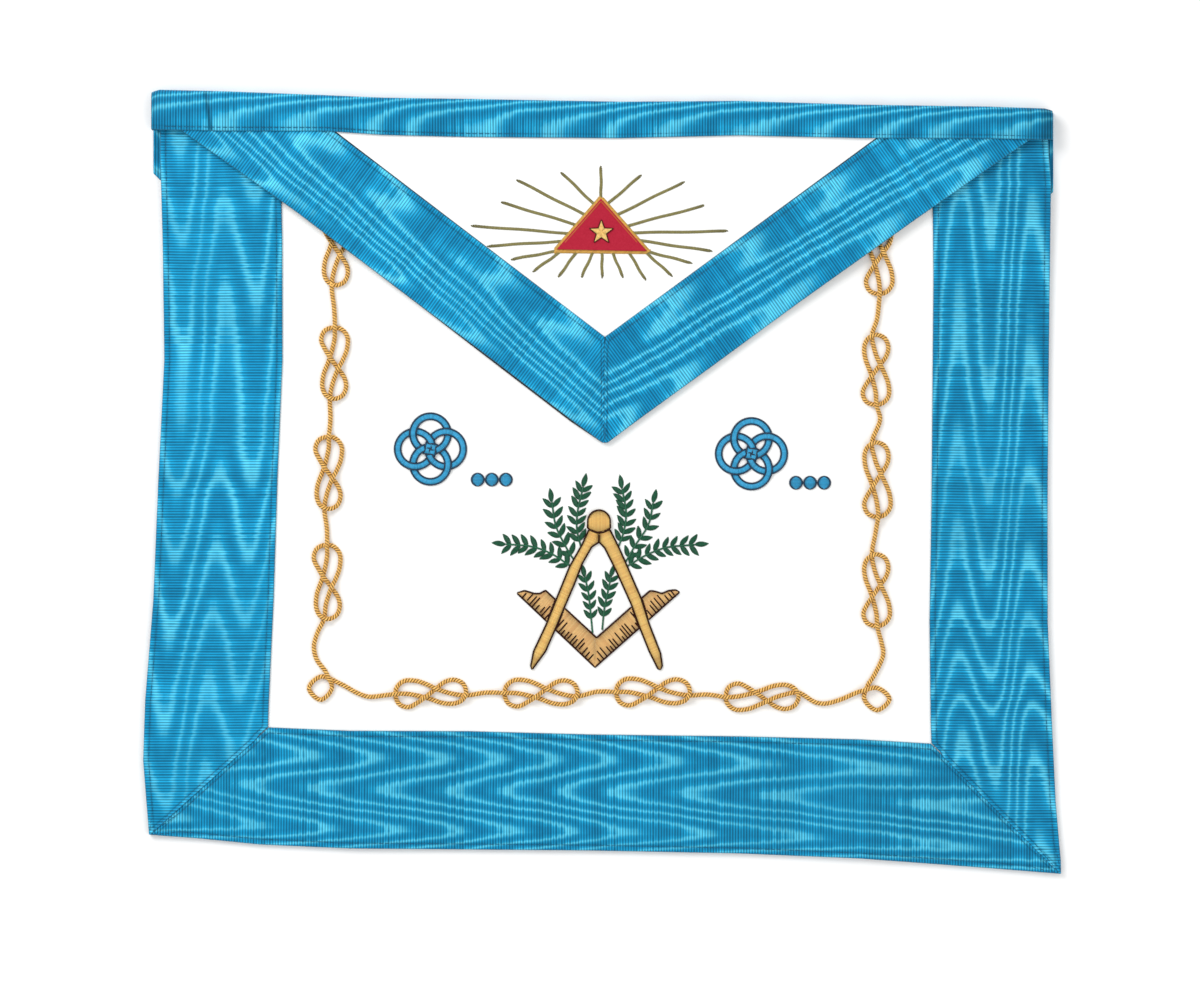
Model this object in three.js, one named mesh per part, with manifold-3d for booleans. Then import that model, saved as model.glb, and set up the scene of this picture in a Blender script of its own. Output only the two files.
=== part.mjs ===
// A masonic apron lying face up with its belt closed behind it.
// Millimetres, +X to the right of the front, +Y towards the waistband, +Z up.
// The origin is under the middle of the apron, on the surface that it lies on.

import * as THREE from 'three';
import { mergeVertices } from 'three/addons/utils/BufferGeometryUtils.js';
import Module from 'manifold-3d';

const wasm = await Module();
wasm.setup();

// Overall sizes
const apronWidth = 417;
const apronHeight = 356;
const borderWidth = 53.5;
const flapRibbonWidth = 40;
const flapDrop = 138;
const bandFront = 18.5;
const beltWidth = 39;
const claspWidth = 26;
const claspHeight = 30;
const claspCorner = 3;
const tailChamfer = 3;
const tailShow = 0.9;

// Thicknesses of the layers
const beltThickness = 1;
const bandWall = 1;
const panelThickness = 1.2;
const borderThickness = 1;
const liningThickness = 1;
const flapThickness = 1;
const flapRibbonThickness = 1.5;
const feltThickness = 1;
const reliefThickness = 1;
const headThickness = 1.4;
const cordWidth = 2.4;
const cordHeight = 1.3;

// Sewing clearances and folds
const clearance = 0.3;
const foldRadius = 3.5;
const settleLength = 80;
const liningShow = 0.9;
const frameWidth = 1.6;
const rayWidth = 1.1;

// Embroidered motifs
const emblemHeight = 72.5;
const knotWidth = 12;
const cordStep = 4.2;
const rosetteSize = 33;
const rosetteBand = 3.2;
const dotSize = 5.6;
const starSize = 11.5;

const finishes = {
  ribbon: { color: 0x2f9dc5, roughness: 0.45, metalness: 0 },
  leather: { color: 0xf7f7f5, roughness: 0.6, metalness: 0 },
  lining: { color: 0x101014, roughness: 0.8, metalness: 0 },
  clasp: { color: 0xb9b9bd, roughness: 0.3, metalness: 1 },
  cord: { color: 0xc98a2b, roughness: 0.4, metalness: 0.2 },
  gold: { color: 0xe0a850, roughness: 0.4, metalness: 0.2 },
  rays: { color: 0x8f8044, roughness: 0.5, metalness: 0.2 },
  felt: { color: 0xb9233a, roughness: 0.95, metalness: 0 },
  leaf: { color: 0x1c6b45, roughness: 0.5, metalness: 0 },
  blue: { color: 0x349dc8, roughness: 0.45, metalness: 0 },
};

// The waistband from left to right, seen from the front:
// x in apron widths, top in apron heights, height in front heights of the band
const bandRows = [
  { x: -0.490, top: 0.4965, height: 0.92 },
  { x: -0.484, top: 0.5, height: 1 },
  { x: -0.41, top: 0.498, height: 0.99 },
  { x: -0.30, top: 0.493, height: 0.9 },
  { x: -0.24, top: 0.490, height: 0.93 },
  { x: -0.144, top: 0.4885, height: 0.95 },
  { x: 0.02, top: 0.485, height: 0.91 },
  { x: 0.15, top: 0.486, height: 0.86 },
  { x: 0.28, top: 0.481, height: 0.84 },
  { x: 0.42, top: 0.4785, height: 0.8 },
  { x: 0.484, top: 0.476, height: 0.79 },
  { x: 0.490, top: 0.473, height: 0.72 },
];

// How far the closed ends of the waistband are pressed flat, at the end and behind it
const bandEndSquash = 0.6;
const bandShoulderSquash = 0.92;

// The outer edges of the apron, x in apron widths and y in apron heights,
// with the width of the border there in border widths
const leftRows = [
  { x: -0.481, y: 0.42, width: 1.02 },
  { x: -0.4787, y: 0.309, width: 1.016 },
  { x: -0.4771, y: 0.156, width: 1.004 },
  { x: -0.4836, y: 0.003, width: 1.012 },
  { x: -0.4891, y: -0.151, width: 1.022 },
  { x: -0.4978, y: -0.279, width: 1.05 },
  { x: -0.5, y: -0.355, width: 1.056 },
  { x: -0.4934, y: -0.45, width: 1.06 },
];
const bottomRows = [
  { x: -0.4934, y: -0.45, width: 0.96 },
  { x: -0.439, y: -0.4552, width: 0.985 },
  { x: -0.373, y: -0.4629, width: 1 },
  { x: -0.275, y: -0.468, width: 1 },
  { x: -0.144, y: -0.4693, width: 1.005 },
  { x: -0.013, y: -0.4706, width: 0.986 },
  { x: 0.151, y: -0.4744, width: 0.995 },
  { x: 0.282, y: -0.4808, width: 1.012 },
  { x: 0.413, y: -0.4923, width: 1.03 },
  { x: 0.5, y: -0.5, width: 1.04 },
];
const rightRows = [
  { x: 0.489, y: 0.38, width: 1.005 },
  { x: 0.488, y: 0.258, width: 0.988 },
  { x: 0.4869, y: 0.13, width: 0.986 },
  { x: 0.4858, y: -0.023, width: 0.986 },
  { x: 0.4858, y: -0.177, width: 1.003 },
  { x: 0.4903, y: -0.304, width: 1.029 },
  { x: 0.4945, y: -0.407, width: 1.046 },
  { x: 0.5, y: -0.483, width: 1.05 },
  { x: 0.5, y: -0.5, width: 1.05 },
];

// The flap: where its corners and its point lie across, in apron widths,
// and how far each long edge bows upwards, along it and in flap drops
const flapLeft = -0.4574;
const flapRight = 0.4651;
const flapTip = 0.0033;
const flapBows = [
  { along: 0.27, left: 0.011, right: 0.006, lining: 0 },
  { along: 0.55, left: 0.004, right: 0.006, lining: 0.2 },
  { along: 0.75, left: 0, right: 0, lining: 1 },
  { along: 0.92, left: -0.007, right: -0.003, lining: 1 },
];
const tipChamfer = 2.6;
const flapRibbonAtBand = 1.035;
const flapRibbonAtTip = 0.958;

// Heights of the panel above the floor, in the lift under the waistband,
// at the rows below it in settle lengths
const settleRows = [
  { below: 0, lift: 0.73 },
  { below: 0.333, lift: 0.35 },
  { below: 0.667, lift: 0.1 },
  { below: 1, lift: 0 },
];
const foldColumns = [-0.53, -0.43, -0.36, -0.27, -0.18, 0, 0.18, 0.27, 0.36, 0.43, 0.53];
const lowerRows = [-0.12, -0.40, -0.52];

// Edges that stand off the floor: column and row of the fold lines counted
// from the left and the top, height in millimetres
const edgeRipples = [
  { column: 0, row: 8, height: 0.8 },
  { column: 10, row: 8, height: 2 },
  { column: 0, row: 7, height: 1.4 },
  { column: 10, row: 6, height: 0.8 },
  { column: 3, row: 8, height: 0.6 },
  { column: 7, row: 8, height: 0.7 },
];

// A loose figure-of-eight knot: along in knot lengths, across in knot widths
const knotPath = [
  { along: 0, across: 0 },
  { along: 0.15, across: 0 },
  { along: 0.32, across: -0.08 },
  { along: 0.48, across: -0.2 },
  { along: 0.67, across: -0.37 },
  { along: 0.84, across: -0.39 },
  { along: 0.95, across: -0.25 },
  { along: 1, across: 0.05 },
  { along: 0.95, across: 0.38 },
  { along: 0.82, across: 0.51 },
  { along: 0.69, across: 0.42 },
  { along: 0.58, across: 0.2 },
  { along: 0.46, across: -0.05 },
  { along: 0.32, across: -0.32 },
  { along: 0.18, across: -0.5 },
  { along: 0.05, across: -0.38 },
  { along: 0, across: -0.06 },
  { along: 0.02, across: 0.25 },
  { along: 0.12, across: 0.48 },
  { along: 0.3, across: 0.48 },
  { along: 0.46, across: 0.33 },
  { along: 0.63, across: 0.12 },
  { along: 0.8, across: -0.02 },
  { along: 1, across: -0.09 },
];

// The cord's route down the left, along the bottom and up the right,
// in apron widths and heights; a knot runs from its row to toX, toY
const cordRoute = [
  { x: -0.289, y: 0.343, toX: -0.292, toY: 0.251, side: 1 },
  { x: -0.292, y: 0.222 },
  { x: -0.291, y: 0.197, toX: -0.294, toY: 0.106, side: 1 },
  { x: -0.296, y: 0.082 },
  { x: -0.2975, y: 0.0575, toX: -0.3, toY: -0.0345, side: 1 },
  { x: -0.3, y: -0.058 },
  { x: -0.2995, y: -0.0805, toX: -0.3005, toY: -0.175, side: 1 },
  { x: -0.310, y: -0.192 },
  { x: -0.314, y: -0.210 },
  { x: -0.311, y: -0.2265 },
  { x: -0.3005, y: -0.2435 },
  { x: -0.2945, y: -0.2635 },
  { x: -0.3067, y: -0.278 },
  { x: -0.3193, y: -0.2634 },
  { x: -0.3067, y: -0.2487 },
  { x: -0.284, y: -0.2583 },
  { x: -0.267, y: -0.2693 },
  { x: -0.254, y: -0.2743 },
  { x: -0.240, y: -0.273 },
  { x: -0.225, y: -0.2707, toX: -0.148, toY: -0.2694, side: 1 },
  { x: -0.126, y: -0.269 },
  { x: -0.106, y: -0.2694, toX: -0.0266, toY: -0.2707, side: 1 },
  { x: -0.006, y: -0.268 },
  { x: 0.0156, y: -0.268, toX: 0.0958, toY: -0.2694, side: 1 },
  { x: 0.115, y: -0.2715 },
  { x: 0.1348, y: -0.2745, toX: 0.214, toY: -0.272, side: -1 },
  { x: 0.2318, y: -0.281 },
  { x: 0.243, y: -0.283 },
  { x: 0.2585, y: -0.2785 },
  { x: 0.283, y: -0.2667 },
  { x: 0.3005, y: -0.2632 },
  { x: 0.3133, y: -0.2772 },
  { x: 0.2997, y: -0.2912 },
  { x: 0.286, y: -0.2772 },
  { x: 0.2895, y: -0.2602 },
  { x: 0.2965, y: -0.2472 },
  { x: 0.3065, y: -0.2203 },
  { x: 0.3045, y: -0.2043 },
  { x: 0.2998, y: -0.1838, toX: 0.2968, toY: -0.0925, side: -1 },
  { x: 0.298, y: -0.066 },
  { x: 0.3008, y: -0.0445, toX: 0.2968, toY: 0.0503, side: -1 },
  { x: 0.3032, y: 0.0806 },
  { x: 0.2988, y: 0.0986, toX: 0.297, toY: 0.1876, side: -1 },
  { x: 0.2997, y: 0.2078 },
  { x: 0.3024, y: 0.24, toX: 0.300, toY: 0.332, side: -1 },
];

// The compasses, in emblem heights right of and below the emblem's place
const compassLegs = [
  [-0.055, 0.125], [-0.095, 0.215], [-0.175, 0.355], [-0.26, 0.565], [-0.32, 0.715],
  [-0.4, 0.885], [-0.417, 0.975], [-0.41, 1], [-0.325, 0.885], [-0.255, 0.725],
  [-0.205, 0.605], [-0.145, 0.465], [-0.095, 0.335], [-0.035, 0.23], [0.01, 0.2],
  [0.045, 0.235], [0.115, 0.375], [0.21, 0.585], [0.265, 0.735], [0.325, 0.885],
  [0.38, 0.995], [0.395, 1], [0.407, 0.975], [0.395, 0.895], [0.325, 0.715],
  [0.275, 0.555], [0.175, 0.325], [0.135, 0.235], [0.08, 0.125],
];
const compassHead = { right: 0.01, down: 0.07, radius: 0.068 };

// The square passes under the legs, so it shows as three pieces
const squareCorner = [
  [-0.24, 0.582], [-0.005, 0.8], [0.25, 0.575], [0.29, 0.715], [-0.015, 0.985], [-0.29, 0.724],
];
const squareEndLeft = [
  [-0.505, 0.52], [-0.455, 0.505], [-0.395, 0.523], [-0.36, 0.523], [-0.325, 0.503],
  [-0.24, 0.582], [-0.29, 0.724],
];
const squareEndRight = [
  [0.25, 0.575], [0.33, 0.505], [0.365, 0.51], [0.405, 0.523], [0.445, 0.505],
  [0.49, 0.5], [0.515, 0.515], [0.29, 0.715],
];

// Leaf sprigs: the stem from its foot outwards, the number of leaf pairs, where
// along the stem they start, and the size of the leaves against the largest
const sprigs = [
  {
    name: 'sprig_left_low', pairs: 8, from: 0.13, size: 1,
    stem: [[-0.17, 0.35], [-0.285, 0.275], [-0.405, 0.23], [-0.575, 0.213]],
  },
  {
    name: 'sprig_left_middle', pairs: 6, from: 0.34, size: 1,
    stem: [[-0.15, 0.31], [-0.195, 0.235], [-0.26, 0.1], [-0.285, -0.05]],
  },
  {
    name: 'sprig_left_high', pairs: 7, from: 0.22, size: 1,
    stem: [[-0.105, 0.225], [-0.128, 0.125], [-0.125, 0.015], [-0.09, -0.145]],
  },
  {
    name: 'sprig_right_high', pairs: 7, from: 0.22, size: 1,
    stem: [[0.135, 0.225], [0.168, 0.125], [0.18, 0.015], [0.155, -0.135]],
  },
  {
    name: 'sprig_right_middle', pairs: 6, from: 0.34, size: 1,
    stem: [[0.175, 0.33], [0.235, 0.225], [0.32, 0.09], [0.35, -0.045]],
  },
  {
    name: 'sprig_right_low', pairs: 8, from: 0.13, size: 1,
    stem: [[0.19, 0.35], [0.3, 0.285], [0.43, 0.235], [0.61, 0.217]],
  },
  {
    name: 'sprig_inner_left', pairs: 5, from: 0.27, size: 0.66,
    stem: [[-0.03, 0.77], [-0.045, 0.62], [-0.056, 0.52], [-0.078, 0.42]],
  },
  {
    name: 'sprig_inner_right', pairs: 5, from: 0.27, size: 0.66,
    stem: [[0.03, 0.75], [0.045, 0.61], [0.066, 0.51], [0.085, 0.42]],
  },
];
const leafLength = 0.073;
const leafWidth = 0.034;
const leafAngle = 52;
const leafWaist = 0.45;
const stemWidth = 0.014;

// The radiant delta: its width as a share of the flap panel where that enters the
// waistband, its place down the panel, and its points in its own widths
const gloryWidth = 0.416;
const gloryDown = 0.465;
const deltaCorners = [[0, 0.128], [-0.186, -0.085], [0.191, -0.089]];
const rayRoot = 0.045;
const rays = [
  { x: 0, y: 0.132, toX: 0, toY: 0.252 },
  { x: -0.041, y: 0.116, toX: -0.157, toY: 0.229 },
  { x: 0.036, y: 0.112, toX: 0.158, toY: 0.217 },
  { x: -0.072, y: 0.066, toX: -0.33, toY: 0.198 },
  { x: 0.081, y: 0.07, toX: 0.325, toY: 0.19 },
  { x: -0.111, y: 0.027, toX: -0.391, toY: 0.111 },
  { x: 0.126, y: 0.025, toX: 0.405, toY: 0.098 },
  { x: -0.146, y: -0.009, toX: -0.506, toY: 0.019 },
  { x: 0.149, y: -0.008, toX: 0.494, toY: -0.002 },
  { x: -0.177, y: -0.043, toX: -0.442, toY: -0.06 },
  { x: 0.18, y: -0.043, toX: 0.433, toY: -0.08 },
  { x: -0.196, y: -0.084, toX: -0.351, toY: -0.112 },
  { x: 0.211, y: -0.089, toX: 0.354, toY: -0.126 },
  { x: -0.173, y: -0.093, toX: -0.266, toY: -0.159 },
  { x: 0.188, y: -0.097, toX: 0.278, toY: -0.177 },
  { x: -0.103, y: -0.093, toX: -0.167, toY: -0.182 },
  { x: 0.118, y: -0.099, toX: 0.174, toY: -0.194 },
  { x: -0.036, y: -0.095, toX: -0.078, toY: -0.184 },
  { x: 0.05, y: -0.097, toX: 0.087, toY: -0.184 },
  { x: 0.004, y: -0.089, toX: 0.004, toY: -0.184 },
];

// Places of the other motifs, in apron widths and heights
const emblemPlace = { x: -0.005, y: -0.036 };
const rosettes = [
  { side: 'left', x: -0.187, y: 0.042, dotX: -0.1355, dotY: 0.003 },
  { side: 'right', x: 0.163, y: 0.036, dotX: 0.2115, dotY: -0.001 },
];
const dotGap = 0.8;

// Plane helpers

const ascending = (a, b) => a - b;

function pointAlong(a, b, t) {
  return [a[0] + (b[0] - a[0]) * t, a[1] + (b[1] - a[1]) * t];
}

// Unit vector a quarter turn to the left of the way from a to b
function leftOf(a, b) {
  const length = Math.hypot(b[0] - a[0], b[1] - a[1]);
  return [(a[1] - b[1]) / length, (b[0] - a[0]) / length];
}

function shifted(point, direction, distance) {
  return [point[0] + direction[0] * distance, point[1] + direction[1] * distance];
}

function between(rows, key, x) {
  const last = rows.length - 1;
  let i = 0;
  while (i < last - 1 && rows[i + 1].x < x) i += 1;
  const t = THREE.MathUtils.clamp((x - rows[i].x) / (rows[i + 1].x - rows[i].x), 0, 1);
  return rows[i][key] + (rows[i + 1][key] - rows[i][key]) * t;
}

// Where the lines a-b and c-d meet, as a share of the way from a to b and from c to d
function meeting(a, b, c, d) {
  const cross = (b[0] - a[0]) * (d[1] - c[1]) - (b[1] - a[1]) * (d[0] - c[0]);
  const s = ((c[0] - a[0]) * (d[1] - c[1]) - (c[1] - a[1]) * (d[0] - c[0])) / cross;
  const t = ((c[0] - a[0]) * (b[1] - a[1]) - (c[1] - a[1]) * (b[0] - a[0])) / cross;
  return [s, t];
}

// Cuts two outlines off at the point where they cross and gives both up to it
function untilCrossing(first, second) {
  for (let i = 0; i < first.length - 1; i += 1) {
    for (let j = 0; j < second.length - 1; j += 1) {
      const [s, t] = meeting(first[i], first[i + 1], second[j], second[j + 1]);
      if (s >= 0 && s <= 1 && t >= 0 && t <= 1) {
        const corner = pointAlong(first[i], first[i + 1], s);
        return { corner, first: first.slice(0, i + 1), second: second.slice(0, j + 1) };
      }
    }
  }
  throw new Error('two border edges do not meet');
}

// Fold lines that every draped layer shares, and the heights where they cross

const bandTopAt = (x) => between(bandRows, 'top', x / apronWidth) * apronHeight;
const bandLowAt = (x) => bandTopAt(x) - between(bandRows, 'height', x / apronWidth) * bandFront;
const insideTopAt = (x) => bandTopAt(x) - foldRadius - clearance;

const bandLeft = bandRows[0].x * apronWidth;
const bandRight = bandRows[bandRows.length - 1].x * apronWidth;
const beltLow = bandTopAt(bandRight) - beltWidth - clearance;
const bandLowest = Math.min(...bandRows.map((row) => bandLowAt(row.x * apronWidth)));

const underBand = beltThickness + bandWall + 2 * clearance;
const columns = foldColumns.map((share) => share * apronWidth);
const rows = [
  apronHeight / 2 + foldRadius,
  bandLowest - clearance,
  ...settleRows.map((row) => Math.min(beltLow, bandLowest - 2 * foldRadius) - row.below * settleLength),
  ...lowerRows.map((share) => share * apronHeight),
];
const rowLifts = [1, 1, ...settleRows.map((row) => row.lift), 0, 0, 0];

const panelHeights = rows.map((row, j) => columns.map(() => rowLifts[j] * underBand));
for (const ripple of edgeRipples) panelHeights[ripple.row][ripple.column] += ripple.height;

// The flap lies over the side ribbons and the cord near its corners, and on
// the bare panel towards the middle
const overRibbon = Math.max(borderThickness, cordHeight) + 2 * clearance;
const flapRises = foldColumns.map((share) => (Math.abs(share) > 0.2 ? overRibbon : clearance));
const flapHeights = panelHeights.map((line) => line.map((z, i) => z + panelThickness + flapRises[i]));

function cellOf(lines, value) {
  let i = 0;
  while (i < lines.length - 2 && (value - lines[i + 1]) * (lines[1] - lines[0]) > 0) i += 1;
  return i;
}

// Height of a layer at x, y on the two flat triangles of its cell
function heightAt(heights, x, y) {
  const i = cellOf(columns, x);
  const j = cellOf(rows, y);
  const s = (x - columns[i]) / (columns[i + 1] - columns[i]);
  const t = (y - rows[j]) / (rows[j + 1] - rows[j]);
  const near = heights[j][i];
  const far = heights[j + 1][i + 1];
  if (s + t <= 1) {
    return near + (heights[j][i + 1] - near) * s + (heights[j + 1][i] - near) * t;
  }
  return far + (heights[j + 1][i] - far) * (1 - s) + (heights[j][i + 1] - far) * (1 - t);
}

const panelUnder = (x, y) => heightAt(panelHeights, x, y);
const panelTop = (x, y) => panelUnder(x, y) + panelThickness;
const liningUnder = (x, y) => heightAt(flapHeights, x, y);
const flapUnder = (x, y) => liningUnder(x, y) + liningThickness + clearance;
const flapTop = (x, y) => flapUnder(x, y) + flapThickness;

// Draped sheets

const near = 0.001;

// Splits a convex outline by the line a x + b y = c
function splitByLine(polygon, a, b, c) {
  const sides = polygon.map(([x, y]) => a * x + b * y - c);
  if (sides.every((d) => d >= -near) || sides.every((d) => d <= near)) return [polygon];
  const above = [];
  const below = [];
  polygon.forEach((point, i) => {
    const k = (i + 1) % polygon.length;
    if (sides[i] >= -near) above.push(point);
    if (sides[i] <= near) below.push(point);
    const crosses = Math.abs(sides[i]) > near && Math.abs(sides[k]) > near && sides[i] * sides[k] < 0;
    if (crosses) {
      const cut = pointAlong(point, polygon[k], sides[i] / (sides[i] - sides[k]));
      above.push(cut);
      below.push(cut);
    }
  });
  return [above, below];
}

function splitByFold(polygon) {
  const i = cellOf(columns, middleOf(polygon, 0));
  const j = cellOf(rows, middleOf(polygon, 1));
  const [ax, ay] = [columns[i + 1], rows[j]];
  const [bx, by] = [columns[i], rows[j + 1]];
  const length = Math.hypot(bx - ax, by - ay);
  const a = (ay - by) / length;
  const b = (bx - ax) / length;
  return splitByLine(polygon, a, b, a * ax + b * ay);
}

const doubleArea = (p, q, r) => (q[0] - p[0]) * (r[1] - p[1]) - (q[1] - p[1]) * (r[0] - p[0]);
const middleOf = (polygon, axis) => polygon.reduce((sum, point) => sum + point[axis], 0) / polygon.length;

// Whether the surface changes slope at column i, beside this piece of it
function foldedAlong(heights, i, polygon) {
  const j = cellOf(rows, middleOf(polygon, 1));
  const slopes = [j, j + 1].map((row) => [i - 1, i].map((k) => (
    (heights[row][k + 1] - heights[row][k]) / (columns[k + 1] - columns[k])
  )));
  return slopes.some(([before, after]) => Math.abs(before - after) > near / 100);
}

// Whether the surface is bent along the diagonal of the cell of this piece
function foldedAcross(heights, polygon) {
  const i = cellOf(columns, middleOf(polygon, 0));
  const j = cellOf(rows, middleOf(polygon, 1));
  const twist = heights[j][i] + heights[j + 1][i + 1] - heights[j][i + 1] - heights[j + 1][i];
  return Math.abs(twist) > near / 100;
}

function holdsPoint(points, a, b, c, k) {
  const [p, q, r, s] = [points[a], points[b], points[c], points[k]];
  return doubleArea(p, q, s) > -near && doubleArea(q, r, s) > -near && doubleArea(r, p, s) > -near;
}

// Triangles of an outline that may have points along its straight sides
function cutEars(points, polygon) {
  const left = [...polygon];
  const triangles = [];
  while (left.length > 3) {
    let best = -1;
    let least = Infinity;
    left.forEach((corner, i) => {
      const before = left[(i + left.length - 1) % left.length];
      const after = left[(i + 1) % left.length];
      const area = doubleArea(points[before], points[corner], points[after]);
      if (area < near || area > least) return;
      const others = left.filter((k) => k !== before && k !== corner && k !== after);
      if (others.some((k) => holdsPoint(points, before, corner, after, k))) return;
      least = area;
      best = i;
    });
    if (best < 0) throw new Error('an outline can not be cut into triangles');
    triangles.push([
      left[(best + left.length - 1) % left.length],
      left[best],
      left[(best + 1) % left.length],
    ]);
    left.splice(best, 1);
  }
  triangles.push(left);
  return triangles;
}

function indexOfPoint(points, point) {
  for (let i = 0; i < points.length; i += 1) {
    if (Math.hypot(points[i][0] - point[0], points[i][1] - point[1]) < near) return i;
  }
  points.push(point);
  return points.length - 1;
}

// The loop with every point put in that lies on one of its sides
function withPointsOnSides(points, loop) {
  return loop.flatMap((start, i) => {
    const end = loop[(i + 1) % loop.length];
    const [a, b] = [points[start], points[end]];
    const length = Math.hypot(b[0] - a[0], b[1] - a[1]);
    const on = [];
    points.forEach((p, k) => {
      const share = ((p[0] - a[0]) * (b[0] - a[0]) + (p[1] - a[1]) * (b[1] - a[1])) / length ** 2;
      const off = Math.abs(doubleArea(a, b, p)) / length;
      const inside = share * length > near && (1 - share) * length > near;
      if (off < 2 * near && inside && k !== start && k !== end) on.push([share, k]);
    });
    on.sort((p, q) => p[0] - q[0]);
    return [start, ...on.map((entry) => entry[1])];
  });
}

// A closed sheet over the flat outline, its underside following under(x, y);
// heights says where the surface it follows is folded
function drapedSheet(outline, under, thickness, heights) {
  const contour = outline.map(([x, y]) => new THREE.Vector2(x, y));
  if (THREE.ShapeUtils.isClockWise(contour)) contour.reverse();
  let polygons = [contour.map(({ x, y }) => [x, y])];
  if (heights) {
    for (const y of rows) polygons = polygons.flatMap((p) => splitByLine(p, 0, 1, y));
    for (let i = 1; i < columns.length - 1; i += 1) {
      const split = (p) => (foldedAlong(heights, i, p) ? splitByLine(p, 1, 0, columns[i]) : [p]);
      polygons = polygons.flatMap(split);
    }
    polygons = polygons.flatMap((p) => (foldedAcross(heights, p) ? splitByFold(p) : [p]));
  }

  const points = [];
  const loops = polygons.map((polygon) => {
    const corners = polygon.map((point) => indexOfPoint(points, point));
    return corners.filter((k, i) => k !== corners[(i + 1) % corners.length]);
  });
  const faces = loops
    .filter((loop) => loop.length > 2)
    .flatMap((loop) => cutEars(points, withPointsOnSides(points, loop)));

  const count = points.length;
  const positions = [];
  for (const rise of [0, thickness]) {
    for (const [x, y] of points) positions.push(x, y, under(x, y) + rise);
  }
  const edges = new Set(faces.flatMap(([a, b, c]) => [`${a} ${b}`, `${b} ${c}`, `${c} ${a}`]));
  const index = [];
  for (const [a, b, c] of faces) {
    index.push(a + count, b + count, c + count, c, b, a);
  }
  for (const edge of edges) {
    const [a, b] = edge.split(' ').map(Number);
    if (!edges.has(`${b} ${a}`)) index.push(a, b, b + count, a, b + count, a + count);
  }
  return indexedGeometry(positions, index);
}

function indexedGeometry(positions, index) {
  const geometry = new THREE.BufferGeometry();
  geometry.setAttribute('position', new THREE.Float32BufferAttribute(positions, 3));
  geometry.setIndex(index);
  geometry.computeVertexNormals();
  return geometry;
}

// Solids that are joined and cut

function solidOf(geometry) {
  const bare = geometry.clone();
  bare.deleteAttribute('normal');
  bare.deleteAttribute('uv');
  const merged = mergeVertices(bare, near / 10);
  return new wasm.Manifold(new wasm.Mesh({
    numProp: 3,
    vertProperties: new Float32Array(merged.attributes.position.array),
    triVerts: new Uint32Array(merged.index.array),
  }));
}

// Joins solids in pairs, and pairs of pairs, until one is left
function joined(solids) {
  if (solids.length === 1) return solids[0];
  const half = Math.floor(solids.length / 2);
  const pair = joined(solids.slice(0, half)).add(joined(solids.slice(half)));
  return new wasm.Manifold(pair.getMesh());
}

// A flat raised piece with the outline, standing on z = 0
function raised(outline, thickness) {
  const shape = new THREE.Shape(outline.map(([x, y]) => new THREE.Vector2(x, y)));
  return solidOf(new THREE.ExtrudeGeometry(shape, { depth: thickness, bevelEnabled: false }));
}

// The solid and the clearance that its neighbours keep from it
function grown(solid, distance) {
  const around = [0, 1, 2, 3, 4, 5, 6, 7].map((k) => (k * Math.PI) / 4);
  return joined(around.map((angle) => solid.translate(
    [distance * Math.cos(angle), distance * Math.sin(angle), 0],
  )));
}

// The solid laid on a draped surface
function laidOn(solid, surface) {
  const mesh = solid.getMesh();
  const positions = Array.from(mesh.vertProperties);
  for (let k = 0; k < positions.length; k += 3) {
    positions[k + 2] += surface(positions[k], positions[k + 1]) + clearance;
  }
  return indexedGeometry(positions, Array.from(mesh.triVerts));
}

function circle(x, y, radius, sides) {
  const corners = [];
  for (let k = 0; k < sides; k += 1) {
    const angle = (2 * Math.PI * k) / sides;
    corners.push([x + radius * Math.cos(angle), y + radius * Math.sin(angle)]);
  }
  return corners;
}

function strip(from, to, width, endWidth) {
  const side = leftOf(from, to);
  return [
    shifted(from, side, -width / 2),
    shifted(to, side, -endWidth / 2),
    shifted(to, side, endWidth / 2),
    shifted(from, side, width / 2),
  ];
}

const group = new THREE.Group();

function addPiece(name, geometry, finish) {
  const mesh = new THREE.Mesh(geometry, new THREE.MeshStandardMaterial(finishes[finish]));
  mesh.name = name;
  group.add(mesh);
}

// Outlines of the apron's edges, from the waistband down and left to right

const outerOf = (table) => table.map((row) => [row.x * apronWidth, row.y * apronHeight]);
const innerOf = (table, right, up) => table.map((row) => [
  row.x * apronWidth + right * row.width * borderWidth,
  row.y * apronHeight + up * row.width * borderWidth,
]);

// The edge carried on upwards inside the waistband
function intoBand(edge, x) {
  return [[x, insideTopAt(x)], [x, bandLowAt(x)], ...edge];
}

const rightInBand = bandRight - bandWall - 3 * clearance;
const leftOuter = intoBand(outerOf(leftRows), leftRows[0].x * apronWidth);
const rightOuter = intoBand(outerOf(rightRows), rightInBand);
const bottomOuter = outerOf(bottomRows);
const leftInnerFull = innerOf(leftRows, 1, 0);
const rightInnerFull = innerOf(rightRows, -1, 0);
const leftInnerLine = intoBand(leftInnerFull, leftInnerFull[0][0]);
const rightInnerLine = intoBand(rightInnerFull, rightInnerFull[0][0]);
const bottomInnerLine = innerOf(bottomRows, 0, 1);
const leftCut = untilCrossing(leftInnerLine, bottomInnerLine);
const rightCut = untilCrossing(rightInnerLine, [...bottomInnerLine].reverse());

function bandStationsBetween(from, to) {
  return bandRows.map((row) => row.x * apronWidth).filter((x) => x > from && x < to);
}

function insideTopLine(from, to) {
  const stations = [from, ...bandStationsBetween(from + clearance, to - clearance), to];
  return stations.map((x) => [x, insideTopAt(x)]);
}

function addPanel() {
  const top = insideTopLine(leftOuter[0][0], rightOuter[0][0]).slice(1, -1);
  const outline = [
    ...leftOuter.slice(0, -1),
    ...bottomOuter,
    ...rightOuter.slice(0, -1).reverse(),
    ...top.reverse(),
  ];
  addPiece('apron_panel', drapedSheet(outline, panelUnder, panelThickness, panelHeights), 'leather');
}

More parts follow.
